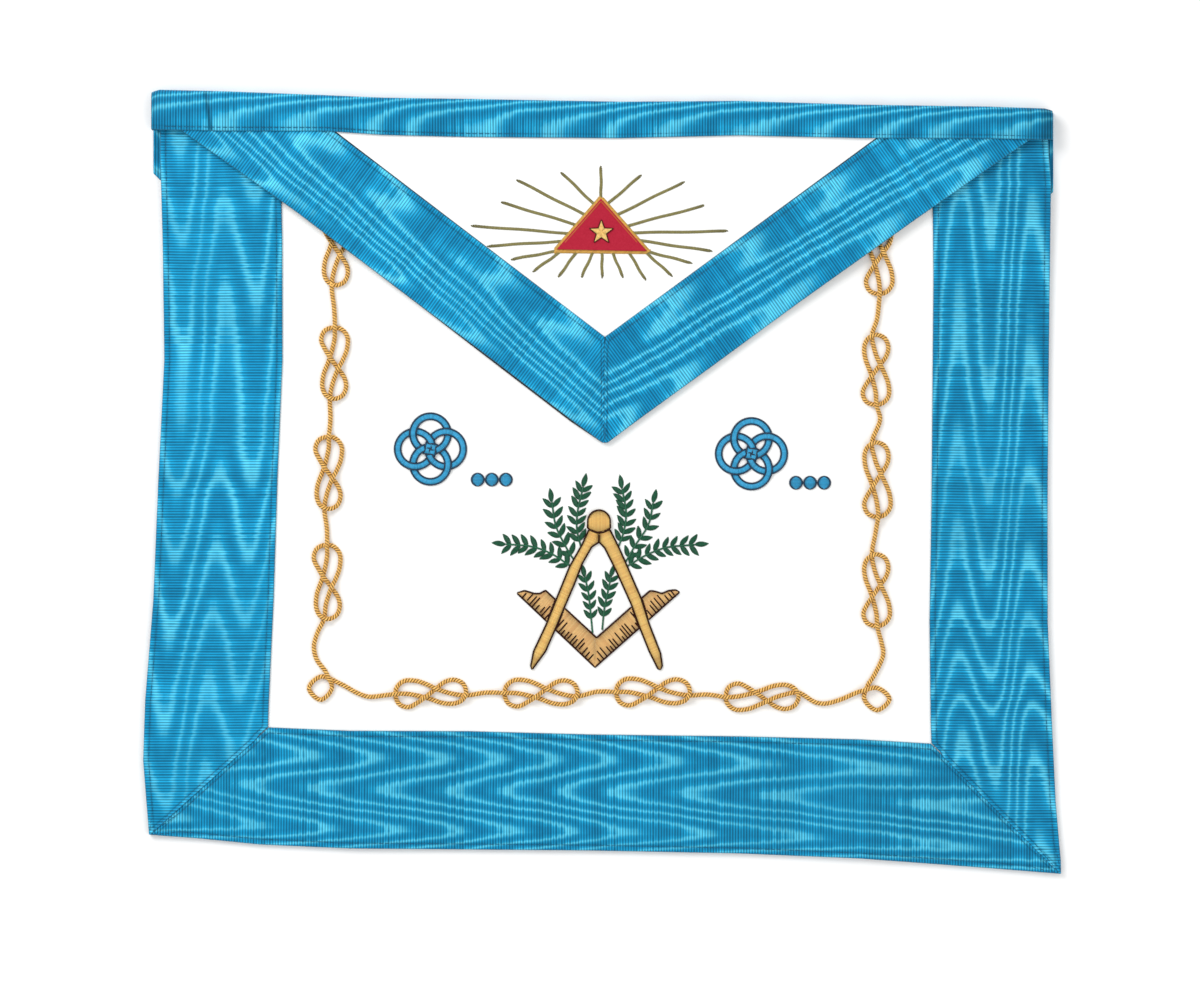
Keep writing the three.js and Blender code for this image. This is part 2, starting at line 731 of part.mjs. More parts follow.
// The ribbons meet in a mitre from each lower corner to the corner inside it
function addBorder() {
  const under = (x, y) => panelTop(x, y) + clearance;
  const leftCorner = bottomOuter[0];
  const rightCorner = bottomOuter[bottomOuter.length - 1];
  const leftSide = leftOf(leftCorner, leftCut.corner);
  const rightSide = leftOf(rightCorner, rightCut.corner);
  const half = clearance / 2;

  const left = [
    ...leftOuter.slice(0, -1),
    shifted(leftCorner, leftSide, half),
    shifted(leftCut.corner, leftSide, half),
    ...leftCut.first.slice().reverse(),
  ];
  const right = [
    ...rightOuter.slice(0, -1),
    shifted(rightCorner, rightSide, -half),
    shifted(rightCut.corner, rightSide, -half),
    ...rightCut.first.slice().reverse(),
  ];
  const inner = bottomInnerLine.slice(leftCut.second.length, bottomInnerLine.length - rightCut.second.length);
  const bottom = [
    shifted(leftCut.corner, leftSide, -half),
    shifted(leftCorner, leftSide, -half),
    ...bottomOuter.slice(1, -1),
    shifted(rightCorner, rightSide, half),
    shifted(rightCut.corner, rightSide, half),
    ...inner.reverse(),
  ];
  addPiece('side_ribbon_left', drapedSheet(left, under, borderThickness, panelHeights), 'ribbon');
  addPiece('side_ribbon_right', drapedSheet(right, under, borderThickness, panelHeights), 'ribbon');
  addPiece('bottom_ribbon', drapedSheet(bottom, under, borderThickness, panelHeights), 'ribbon');
}

// The flap

const cornerLeft = [flapLeft * apronWidth, bandLowAt(flapLeft * apronWidth)];
const cornerRight = [flapRight * apronWidth, bandLowAt(flapRight * apronWidth)];
const tipX = flapTip * apronWidth;
const tip = [tipX, bandLowAt(tipX) - flapDrop];

function flapEdge(corner, sideways, key, outward) {
  const up = [0, 1];
  const points = flapBows.map((row) => {
    const bow = row[key] * flapDrop - row.lining * outward;
    return shifted(pointAlong(corner, tip, row.along), up, bow);
  });
  return [corner, ...points, shifted(pointAlong(corner, tip, 1), [sideways, 0], tipChamfer / 2)];
}

// The inner edge of one flap ribbon, from inside the waistband to the mitre
function flapInnerEdge(corner, sideways) {
  const across = leftOf(corner, tip);
  const atBand = shifted(corner, across, -sideways * flapRibbonWidth * flapRibbonAtBand);
  const atTip = shifted(tip, across, -sideways * flapRibbonWidth * flapRibbonAtTip);
  const [toMiddle] = meeting(atBand, atTip, tip, [tip[0], tip[1] + flapDrop]);
  const top = insideTopAt(atBand[0]);
  const [toTop] = meeting(atBand, atTip, [0, top], [1, top]);
  return [pointAlong(atBand, atTip, toTop), pointAlong(atBand, atTip, toMiddle)];
}

const innerLeft = flapInnerEdge(cornerLeft, -1);
const innerRight = flapInnerEdge(cornerRight, 1);

function flapOutline(outward) {
  const left = flapEdge(cornerLeft, -1, 'left', outward);
  const right = flapEdge(cornerRight, 1, 'right', 0);
  const top = insideTopLine(cornerLeft[0], cornerRight[0]);
  return [...left, ...right.reverse(), ...top.reverse()];
}

function addFlap() {
  const lining = drapedSheet(flapOutline(liningShow), liningUnder, liningThickness, flapHeights);
  addPiece('flap_lining', lining, 'lining');

  const half = clearance / 2;
  const seamTop = innerLeft[1];
  const [leftTop] = innerLeft;
  const [rightTop] = innerRight;
  const left = [
    [cornerLeft[0], insideTopAt(cornerLeft[0])],
    ...flapEdge(cornerLeft, -1, 'left', 0).slice(0, -1),
    shifted(tip, [-1, 0], tipChamfer / 2),
    [tip[0] - half, tip[1] - half],
    [tip[0] - half, seamTop[1]],
    leftTop,
    ...insideTopLine(cornerLeft[0], leftTop[0]).slice(1, -1).reverse(),
  ];
  const right = [
    [cornerRight[0], insideTopAt(cornerRight[0])],
    ...flapEdge(cornerRight, 1, 'right', 0).slice(0, -1),
    shifted(tip, [1, 0], tipChamfer / 2),
    [tip[0] + half, tip[1] - half],
    [tip[0] + half, seamTop[1]],
    rightTop,
    ...insideTopLine(rightTop[0], cornerRight[0]).slice(1, -1),
  ];
  addPiece('flap_ribbon_left', drapedSheet(left, flapUnder, flapRibbonThickness, flapHeights), 'ribbon');
  addPiece('flap_ribbon_right', drapedSheet(right, flapUnder, flapRibbonThickness, flapHeights), 'ribbon');

  const gap = 2 * clearance;
  const middle = [
    shifted(leftTop, [1, 0], gap),
    shifted(seamTop, [0, 1], gap),
    shifted(rightTop, [-1, 0], gap),
    ...insideTopLine(leftTop[0] + gap, rightTop[0] - gap).slice(1, -1).reverse(),
  ];
  addPiece('flap_panel', drapedSheet(middle, flapUnder, flapThickness, flapHeights), 'leather');
}

// The waistband, a ribbon folded over the top edge and closed at both ends

// The top of the layers that the front of the waistband lies on,
// where the band starts to fall a panel's thickness later than they do
function stackTopAt(x) {
  const outer = columns[3] + panelThickness;
  const inner = columns[4];
  const high = underBand + panelThickness + overRibbon + liningThickness + clearance + flapRibbonThickness;
  const low = underBand + panelThickness + clearance + liningThickness + clearance + flapThickness;
  const share = THREE.MathUtils.clamp((Math.abs(inner) - Math.abs(x)) / (inner - outer), -1, 0);
  return low + (high - low) * -share;
}

function bandSection(x, low, inset, squash) {
  const bottom = beltThickness + clearance + inset;
  const top = stackTopAt(x) + clearance + bandWall - inset;
  const middle = (bottom + top) / 2;
  const half = ((top - bottom) / 2) * squash;
  const radius = foldRadius - inset;
  const round = [-90, -45, 0, 45, 90].map((angle) => {
    const turn = THREE.MathUtils.degToRad(angle);
    return [x, bandTopAt(x) - foldRadius + radius * Math.cos(turn), middle + half * Math.sin(turn)];
  });
  return [[x, low, middle - half], ...round, [x, low, middle + half]];
}

// Closes a row of equal rings into one solid
function loft(rings) {
  const sides = rings[0].length;
  const positions = rings.flat(2);
  const index = [];
  for (let i = 0; i < rings.length - 1; i += 1) {
    for (let k = 0; k < sides; k += 1) {
      const a = i * sides + k;
      const b = i * sides + ((k + 1) % sides);
      index.push(a, b, b + sides, a, b + sides, a + sides);
    }
  }
  const last = (rings.length - 1) * sides;
  for (let k = 1; k < sides - 1; k += 1) {
    index.push(0, k + 1, k, last, last + k, last + k + 1);
  }
  return solidOf(indexedGeometry(positions, index));
}

function addWaistband() {
  const steps = [columns[3], columns[4], columns[6], columns[7]];
  const stations = bandStationsBetween(bandLeft + foldRadius, bandRight - foldRadius);
  const inside = [...stations, ...steps].sort(ascending);
  const wall = bandWall + clearance;
  const outer = loft([
    bandSection(bandLeft, bandLowAt(bandLeft), 0, bandEndSquash),
    bandSection(bandLeft + bandWall, bandLowAt(bandLeft), 0, bandShoulderSquash),
    bandSection(bandLeft + foldRadius, bandLowAt(bandLeft + foldRadius), 0, 1),
    ...inside.map((x) => bandSection(x, bandLowAt(x), 0, 1)),
    bandSection(bandRight - foldRadius, bandLowAt(bandRight - foldRadius), 0, 1),
    bandSection(bandRight - bandWall, bandLowAt(bandRight), 0, bandShoulderSquash),
    bandSection(bandRight, bandLowAt(bandRight), 0, bandEndSquash),
  ]);
  const open = bandLowest - foldRadius;
  const cavity = loft([
    bandSection(bandLeft + wall, open, bandWall, 1),
    ...inside.map((x) => bandSection(x, open, bandWall, 1)),
    bandSection(bandRight - wall, open, bandWall, 1),
  ]);
  const mesh = outer.subtract(cavity).getMesh();
  addPiece(
    'waistband',
    indexedGeometry(Array.from(mesh.vertProperties), Array.from(mesh.triVerts)),
    'ribbon',
  );
}

// The belt behind the apron, closed by a plain clasp

function addBelt() {
  const flat = () => 0;
  const hidden = (x) => bandTopAt(x) - bandWall / 2;
  for (const side of [-1, 1]) {
    const outer = side < 0 ? bandLeft + clearance : bandRight + tailShow;
    const inner = side * (claspWidth / 2 + clearance);
    const outline = [
      [outer, hidden(outer)],
      [outer, hidden(outer) - beltWidth + tailChamfer],
      [outer - side * tailChamfer, hidden(outer) - beltWidth],
      [inner, hidden(inner) - beltWidth],
      [inner, hidden(inner)],
    ];
    const name = side < 0 ? 'belt_tail_left' : 'belt_tail_right';
    addPiece(name, drapedSheet(outline, flat, beltThickness), 'ribbon');
  }

  const right = claspWidth / 2;
  const up = claspHeight / 2;
  const shape = new THREE.Shape();
  shape.absarc(right - claspCorner, up - claspCorner, claspCorner, 0, Math.PI / 2);
  shape.absarc(claspCorner - right, up - claspCorner, claspCorner, Math.PI / 2, Math.PI);
  shape.absarc(claspCorner - right, claspCorner - up, claspCorner, Math.PI, 1.5 * Math.PI);
  shape.absarc(right - claspCorner, claspCorner - up, claspCorner, 1.5 * Math.PI, 2 * Math.PI);
  const extrusion = { depth: beltThickness, bevelEnabled: false, curveSegments: 3 };
  const plate = new THREE.ExtrudeGeometry(shape, extrusion);
  plate.translate(0, hidden(0) - beltWidth / 2, 0);
  addPiece('belt_clasp', plate, 'clasp');
}

// The gold cord, one length laid round three sides in loose knots

function cordPoints() {
  const points = [];
  for (const row of cordRoute) {
    const start = [row.x * apronWidth, row.y * apronHeight];
    if (row.side === undefined) {
      points.push(start);
    } else {
      const end = [row.toX * apronWidth, row.toY * apronHeight];
      const across = leftOf(start, end);
      for (const bend of knotPath) {
        const middle = pointAlong(start, end, bend.along);
        points.push(shifted(middle, across, row.side * bend.across * knotWidth));
      }
    }
  }
  return points;
}

// Where the cord passes over itself: every second visit to a crossing, as
// lengths along the cord
function passesOver(curve, length) {
  const count = Math.round(length);
  const places = [];
  for (let k = 0; k <= count; k += 1) {
    const { x, y } = curve.getPointAt(k / count);
    places.push([x, y]);
  }
  const visits = [];
  for (let i = 0; i < count - 2; i += 1) {
    for (let k = i + 2; k < count; k += 1) {
      const close = Math.hypot(places[i][0] - places[k][0], places[i][1] - places[k][1]) < cordWidth;
      if (close) {
        const [s, t] = meeting(places[i], places[i + 1], places[k], places[k + 1]);
        if (s >= 0 && s < 1 && t >= 0 && t < 1) visits.push(i + s, k + t);
      }
    }
  }
  return visits.sort(ascending).filter((visit, k) => k % 2 === 0).map((visit) => (visit * length) / count);
}

// Whether a place is under the flap, which presses the cord flat, or beside it
function pressedByFlap(x, y) {
  const corner = x < tip[0] ? cornerLeft : cornerRight;
  const share = (x - corner[0]) / (tip[0] - corner[0]);
  return y > pointAlong(corner, tip, share)[1] - 2 * cordWidth;
}

function addCord() {
  const curve = new THREE.CatmullRomCurve3(cordPoints().map(([x, y]) => new THREE.Vector3(x, y, 0)));
  curve.arcLengthDivisions = 4000;
  const length = curve.getLength();
  const over = passesOver(curve, length);
  const stops = over.flatMap((place) => [place - cordWidth, place + cordWidth]);
  for (let place = 0; place <= length; place += cordStep) {
    if (stops.every((stop) => Math.abs(stop - place) > cordStep / 2)) stops.push(place);
  }
  stops.sort(ascending);

  const section = [[-0.5, 0], [0.5, 0], [0.28, 1], [-0.28, 1]];
  const rings = stops.map((stop) => {
    const place = curve.getPointAt(stop / length);
    const way = curve.getTangentAt(stop / length);
    const across = leftOf([0, 0], [way.x, way.y]);
    const passes = over.some((visit) => Math.abs(visit - stop) < cordWidth + near);
    const lift = passes && !pressedByFlap(place.x, place.y) ? cordHeight + clearance : 0;
    return section.map(([side, up]) => [
      ...shifted([place.x, place.y], across, side * cordWidth),
      lift + up * cordHeight,
    ]);
  });
  const stretch = 4;
  const solids = [];
  for (let k = 0; k < rings.length - 1; k += stretch) {
    solids.push(loft(rings.slice(k, k + stretch + 1)));
  }
  addPiece('knotted_cord', laidOn(joined(solids), panelTop), 'cord');
}

// The square and compasses with their sprigs

const emblemPoint = ([right, down]) => [
  emblemPlace.x * apronWidth + right * emblemHeight,
  emblemPlace.y * apronHeight - down * emblemHeight,
];

function turned([x, y], degrees) {
  const turn = THREE.MathUtils.degToRad(degrees);
  return [x * Math.cos(turn) - y * Math.sin(turn), x * Math.sin(turn) + y * Math.cos(turn)];
}

// One side of a sprig, from its foot to its tip, leaf by leaf
function sprigSide(sprig, curve, side) {
  const length = leafLength * sprig.size * emblemHeight;
  const half = (leafWidth * sprig.size * emblemHeight) / 2;
  const stem = (stemWidth * emblemHeight) / 2;
  const edge = (t, ahead) => {
    const [x, y] = [curve.getPointAt(t), curve.getTangentAt(t)];
    const beside = shifted([x.x, x.y], leftOf([0, 0], [y.x, y.y]), side * stem);
    return shifted(beside, [y.x, y.y], ahead * stem);
  };
  const points = [edge(0, 0)];
  for (let k = 0; k < sprig.pairs; k += 1) {
    const t = sprig.from + ((1 - sprig.from) * k) / (sprig.pairs - 0.5);
    const { x, y } = curve.getPointAt(t);
    const way = curve.getTangentAt(t);
    const end = shifted([x, y], turned([way.x, way.y], side * leafAngle), length);
    const middle = pointAlong([x, y], end, leafWaist);
    const back = leftOf([x, y], end);
    const [near, far] = [side * half, -side * half].map((across) => shifted(middle, back, across));
    points.push(edge(t, -1), near, end, far, edge(t, 1));
  }
  const { x, y } = curve.getPointAt(1);
  const way = curve.getTangentAt(1);
  const middle = shifted([x, y], [way.x, way.y], leafWaist * length);
  points.push(edge(1, 0), shifted(middle, leftOf([0, 0], [way.x, way.y]), side * half));
  if (side > 0) points.push(shifted([x, y], [way.x, way.y], length));
  return points;
}

function sprigOutline(sprig) {
  const curve = new THREE.CatmullRomCurve3(sprig.stem.map((point) => {
    const [x, y] = emblemPoint(point);
    return new THREE.Vector3(x, y, 0);
  }));
  return [...sprigSide(sprig, curve, 1), ...sprigSide(sprig, curve, -1).reverse()];
}

function addEmblem() {
  const head = emblemPoint([compassHead.right, compassHead.down]);
  const compasses = raised(compassLegs.map(emblemPoint), reliefThickness)
    .add(raised(circle(head[0], head[1], compassHead.radius * emblemHeight, 16), headThickness));
  addPiece('compasses', laidOn(compasses, panelTop), 'gold');

  const aroundCompasses = grown(compasses, clearance);
  const squares = [
    ['square_corner', squareCorner],
    ['square_end_left', squareEndLeft],
    ['square_end_right', squareEndRight],
  ];
  for (const [name, outline] of squares) {
    const solid = raised(outline.map(emblemPoint), reliefThickness).subtract(aroundCompasses);
    addPiece(name, laidOn(solid, panelTop), 'gold');
  }

  const corner = raised(squareCorner.map(emblemPoint), reliefThickness);
  const around = joined([aroundCompasses, grown(corner, clearance)]);
  for (const sprig of sprigs) {
    const solid = raised(sprigOutline(sprig), reliefThickness).subtract(around);
    addPiece(sprig.name, laidOn(solid, panelTop), 'leaf');
  }
}

// An open quatrefoil of four rings with three dots beside it

function addRosettes() {
  for (const place of rosettes) {
    const centre = [place.x * apronWidth, place.y * apronHeight];
    const lobe = rosetteSize * 0.29;
    const offset = rosetteSize / 2 - lobe;
    const rings = [0, 90, 180, 270].map((angle) => {
      const [x, y] = shifted(centre, turned([1, 0], angle), offset);
      const disc = raised(circle(x, y, lobe, 12), reliefThickness);
      const hole = raised(circle(x, y, lobe - rosetteBand, 10), 3 * reliefThickness);
      return disc.subtract(hole.translate([0, 0, -reliefThickness]));
    });
    addPiece(`quatrefoil_${place.side}`, laidOn(joined(rings), panelTop), 'blue');
    for (let k = 0; k < 3; k += 1) {
      const x = place.dotX * apronWidth + k * (dotSize + dotGap);
      const dot = raised(circle(x, place.dotY * apronHeight, dotSize / 2, 10), reliefThickness);
      addPiece(`dot_${place.side}_${k + 1}`, laidOn(dot, panelTop), 'blue');
    }
  }
}

// The radiant delta on the flap

function insetTriangle(corners, distance) {
  const sides = corners.map((corner, k) => {
    const [a, b] = [corners[(k + 1) % 3], corners[(k + 2) % 3]];
    return Math.hypot(a[0] - b[0], a[1] - b[1]);
  });
  const round = sides[0] + sides[1] + sides[2];
  const centre = [0, 1].map((axis) => corners.reduce((sum, c, k) => sum + c[axis] * sides[k], 0) / round);
  const radius = Math.abs(doubleArea(...corners)) / round;
  return corners.map((corner) => pointAlong(corner, centre, distance / radius));
}

function addDelta() {
  const width = (innerRight[0][0] - innerLeft[0][0]) * gloryWidth;
  const low = innerLeft[1][1];
  const high = bandLowAt(tip[0]);
  const centre = [(innerLeft[0][0] + innerRight[0][0]) / 2, high + (low - high) * gloryDown];
  const place = ([x, y]) => [centre[0] + x * width, centre[1] + y * width];
  const corners = deltaCorners.map(place);

  const feltSolid = raised(insetTriangle(corners, frameWidth + clearance), feltThickness);
  addPiece('delta_felt', laidOn(feltSolid, flapTop), 'felt');

  const inner = raised(insetTriangle(corners, frameWidth), 3 * reliefThickness);
  const bars = rays.map((ray) => {
    const from = place([ray.x, ray.y]);
    const to = place([ray.toX, ray.toY]);
    const length = Math.hypot(to[0] - from[0], to[1] - from[1]);
    const root = pointAlong(from, to, (-rayRoot * width) / length);
    return raised(strip(root, to, rayWidth, rayWidth), reliefThickness);
  });
  const frame = joined([raised(corners, reliefThickness), ...bars])
    .subtract(inner.translate([0, 0, -reliefThickness]));
  addPiece('delta_frame', laidOn(frame, flapTop), 'rays');

  const middle = pointAlong(corners[0], pointAlong(corners[1], corners[2], 0.5), 0.63);
  const points = [];
  for (let k = 0; k < 10; k += 1) {
    const reach = (starSize / 2) * (k % 2 === 0 ? 1 : 0.42);
    points.push(shifted(middle, turned([0, 1], k * 36), reach));
  }
  const starSurface = (x, y) => flapTop(x, y) + clearance + feltThickness;
  addPiece('delta_star', laidOn(raised(points, reliefThickness), starSurface), 'gold');
}

addBelt();
addPanel();
addBorder();
addWaistband();
addFlap();
addCord();
addEmblem();
addRosettes();
addDelta();

export default group;
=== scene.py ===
"""A lodge apron: moire ribbon, leatherette, a knotted gold cord and satin-stitch embroidery."""

import functools
import math

import bpy
import numpy as np
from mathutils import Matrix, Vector
from mathutils.bvhtree import BVHTree


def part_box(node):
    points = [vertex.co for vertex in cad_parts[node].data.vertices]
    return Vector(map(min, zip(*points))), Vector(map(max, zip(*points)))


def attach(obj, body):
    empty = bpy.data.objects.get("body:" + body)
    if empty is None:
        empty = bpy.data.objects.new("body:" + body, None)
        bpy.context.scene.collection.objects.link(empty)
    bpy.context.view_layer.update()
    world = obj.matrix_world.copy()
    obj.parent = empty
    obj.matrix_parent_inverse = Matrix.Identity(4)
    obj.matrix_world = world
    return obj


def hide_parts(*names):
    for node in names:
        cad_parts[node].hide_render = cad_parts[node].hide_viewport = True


bl_info = {
    "name": "Lodge apron",
    "version": (1, 0, 0),
    "blender": (4, 5, 0),
    "location": "View3D > Sidebar > Apron",
    "description": "Builds the cloth, cord and embroidery of a lodge apron on its packed frame",
    "category": "Add Mesh",
}

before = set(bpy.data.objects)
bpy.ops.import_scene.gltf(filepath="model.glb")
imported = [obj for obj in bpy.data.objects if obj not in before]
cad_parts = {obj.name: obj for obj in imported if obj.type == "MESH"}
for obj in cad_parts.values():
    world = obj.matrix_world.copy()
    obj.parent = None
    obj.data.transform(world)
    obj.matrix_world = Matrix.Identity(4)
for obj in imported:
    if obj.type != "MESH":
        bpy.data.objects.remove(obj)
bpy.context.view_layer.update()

MM = 0.001
APRON_WIDTH, APRON_HEIGHT = 0.417, 0.356
BORDER_WIDTH, FLAP_RIBBON_WIDTH, BELT_WIDTH = 53.5 * MM, 40 * MM, 39 * MM
UP = np.array([0, 0, 1.0])
BODY = "root"


def linear(code):
    """The linear colour of an sRGB hex code."""
    shares = [int(code[k : k + 2], 16) / 255 for k in (1, 3, 5)]
    return [s / 12.92 if s <= 0.04045 else ((s + 0.055) / 1.055) ** 2.4 for s in shares]


def rgba(colour):
    return (*colour, 1.0)


# Settings


def length_setting(name, description, default):
    return bpy.props.FloatProperty(
        name=name, description=description, default=default, min=0.0, precision=5,
        subtype="DISTANCE", unit="LENGTH",
    )


def colour_setting(name, description, code):
    return bpy.props.FloatVectorProperty(
        name=name, description=description, default=linear(code), min=0.0, max=1.0,
        size=3, subtype="COLOR",
    )


class ApronCloth(bpy.types.PropertyGroup):
    # The ribs lie 1.1 mm apart; they are drawn a little coarser so that they show
    rib_pitch: length_setting(
        "Rib pitch", "Distance from one rib of the ribbon to the next", 1.25 * MM
    )
    rib_height: length_setting("Rib height", "Height of the ribs above the ground weave", 0.1 * MM)
    stitch_length: length_setting("Stitch length", "Length of one topstitch", 2.0 * MM)
    stitch_gap: length_setting("Stitch gap", "Gap between two topstitches", 0.9 * MM)
    stitch_inset: length_setting("Stitch inset", "Distance of the seam from an edge", 2.5 * MM)
    edge_fall: length_setting("Edge fall", "How far a ribbon's edge rounds down", 0.45 * MM)


class ApronThreads(bpy.types.PropertyGroup):
    cord_width: length_setting("Cord width", "Width of the twisted gold cord", 2.4 * MM)
    cord_lay: length_setting("Cord lay", "Length in which a strand winds round once", 3.9 * MM)
    # The threads lie 0.4 mm apart; they are drawn a little coarser so that they show
    thread_pitch: length_setting(
        "Thread pitch", "Distance between the threads of the satin stitch", 0.5 * MM
    )
    padding: length_setting("Padding", "Height of the padded embroidery", 0.9 * MM)
    outline_width: length_setting("Outline width", "Width of the outline threads", 0.78 * MM)
    ray_width: length_setting("Ray width", "Width of the rays of the delta", 1.35 * MM)
    rosette_band: length_setting("Rosette band", "Width of the rings of the rosettes", 3.2 * MM)


class ApronColours(bpy.types.PropertyGroup):
    ribbon_dark: colour_setting("Ribbon, dark", "Moire ribbon where it looks darkest", "#06739F")
    ribbon_mid: colour_setting("Ribbon, middle", "Moire ribbon between its marks", "#1893BF")
    ribbon_light: colour_setting("Ribbon, light", "Moire ribbon where it shines", "#52BDDC")
    leatherette: colour_setting("Leatherette", "White apron and flap", "#FAFAF8")
    lining: colour_setting("Lining", "Black lining of the flap", "#141418")
    cord: colour_setting("Cord", "Twisted gold cord", "#FFC86C")
    gold: colour_setting("Gold", "Gold satin stitch", "#FFDD8A")
    outline: colour_setting("Outline", "Brown outline of the gold motifs", "#2C0F06")
    old_gold: colour_setting("Old gold", "Rays of the delta", "#8E864E")
    felt: colour_setting("Felt", "Red felt of the delta", "#A80C27")
    leaf: colour_setting("Leaf", "Green satin stitch", "#145E3F")
    rosette: colour_setting("Rosette", "Sky-blue satin stitch", "#3AAEDD")
    navy: colour_setting("Navy", "Outline of the blue motifs", "#10304A")
    clasp: colour_setting("Clasp", "Nickel-plated clasp of the belt", "#C9C9CC")
    floor: colour_setting("Floor", "Floor that the apron lies on", "#F4F4F4")


# Smooth fields over the apron's plane


class Field:
    """Values on a square grid over x and y, read as a cubic spline between its points."""

    def __init__(self, corner, step, values):
        self.corner, self.step, self.values = corner, step, values

    def at(self, x, y):
        rows, columns = self.values.shape
        u = (np.asarray(x, float) - self.corner[0]) / self.step
        v = (np.asarray(y, float) - self.corner[1]) / self.step
        i, j = np.floor(u).astype(int), np.floor(v).astype(int)
        total = 0.0
        for a, wide in enumerate(spline_weights(u - i)):
            for b, high in enumerate(spline_weights(v - j)):
                column = np.clip(i + a - 1, 0, columns - 1)
                row = np.clip(j + b - 1, 0, rows - 1)
                total = total + wide * high * self.values[row, column]
        return total


def spline_weights(t):
    return (
        (1 - t) ** 3 / 6,
        (3 * t**3 - 6 * t**2 + 4) / 6,
        (-3 * t**3 + 3 * t**2 + 3 * t + 1) / 6,
        t**3 / 6,
    )


def node_tree_of(node):
    """A CAD node's faces, for casting rays onto them."""
    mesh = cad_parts[node].data
    return BVHTree.FromPolygons(
        [v.co for v in mesh.vertices], [p.vertices for p in mesh.polygons]
    )


def height_field(node, side, step=5 * MM):
    """The top (side 1) or underside (side -1) of a CAD node, carried on past its edges."""
    tree = node_tree_of(node)
    low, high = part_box(node)
    corner = (low.x - step, low.y - step)
    columns = int((high.x - low.x) / step) + 4
    rows = int((high.y - low.y) / step) + 4
    values = np.full((rows, columns), np.nan)
    for j in range(rows):
        for i in range(columns):
            start = Vector((corner[0] + i * step, corner[1] + j * step, side * 1.0))
            hit = tree.ray_cast(start, Vector((0, 0, -side)))[0]
            if hit is not None:
                values[j, i] = hit.z
    while np.isnan(values).any():
        padded = np.pad(values, 1, constant_values=np.nan)
        around = np.stack([
            padded[1 + dj : 1 + dj + rows, 1 + di : 1 + di + columns]
            for dj in (-1, 0, 1) for di in (-1, 0, 1)
        ])
        known = ~np.isnan(around)
        mean = np.where(known, around, 0).sum(0) / np.maximum(known.sum(0), 1)
        fill = np.isnan(values) & known.any(0)
        values[fill] = mean[fill]
    return Field(corner, step, values)


def noise_field(step, seed):
    """Smooth random values from about -1 to 1 over the whole apron."""
    half_width, half_height = 0.26, 0.24
    size = (int(2 * half_height / step) + 4, int(2 * half_width / step) + 4)
    values = np.random.default_rng(seed).uniform(-1.6, 1.6, size)
    return Field((-half_width, -half_height), step, values)


# Materials

MATH, MIX, RANGE = "ShaderNodeMath", "ShaderNodeMix", "ShaderNodeMapRange"
NOISE, BUMP = "ShaderNodeTexNoise", "ShaderNodeBump"
VALUE, PLACE = "ShaderNodeAttribute", "ShaderNodeTexCoord"
BLACK, WHITE = (0, 0, 0), (1, 1, 1)


def fill(node, inputs):
    """Sets the inputs of a node, or links them where the value is a socket."""
    for key, value in inputs.items():
        if isinstance(value, bpy.types.NodeSocket):
            node.id_data.links.new(value, node.inputs[key])
        else:
            node.inputs[key].default_value = value


def add_node(tree, kind, inputs=None, out=0, **settings):
    """Adds a node with its settings and links, and gives one of its outputs.

    A Mix node of colours has its share at input 0, its colours at 6 and 7, and output 2.
    """
    node = tree.nodes.new(kind)
    for key, value in settings.items():
        setattr(node, key, value)
    fill(node, inputs or {})
    return node.outputs[out]


def blended(first, second, share):
    return [a + (b - a) * share for a, b in zip(first, second)]


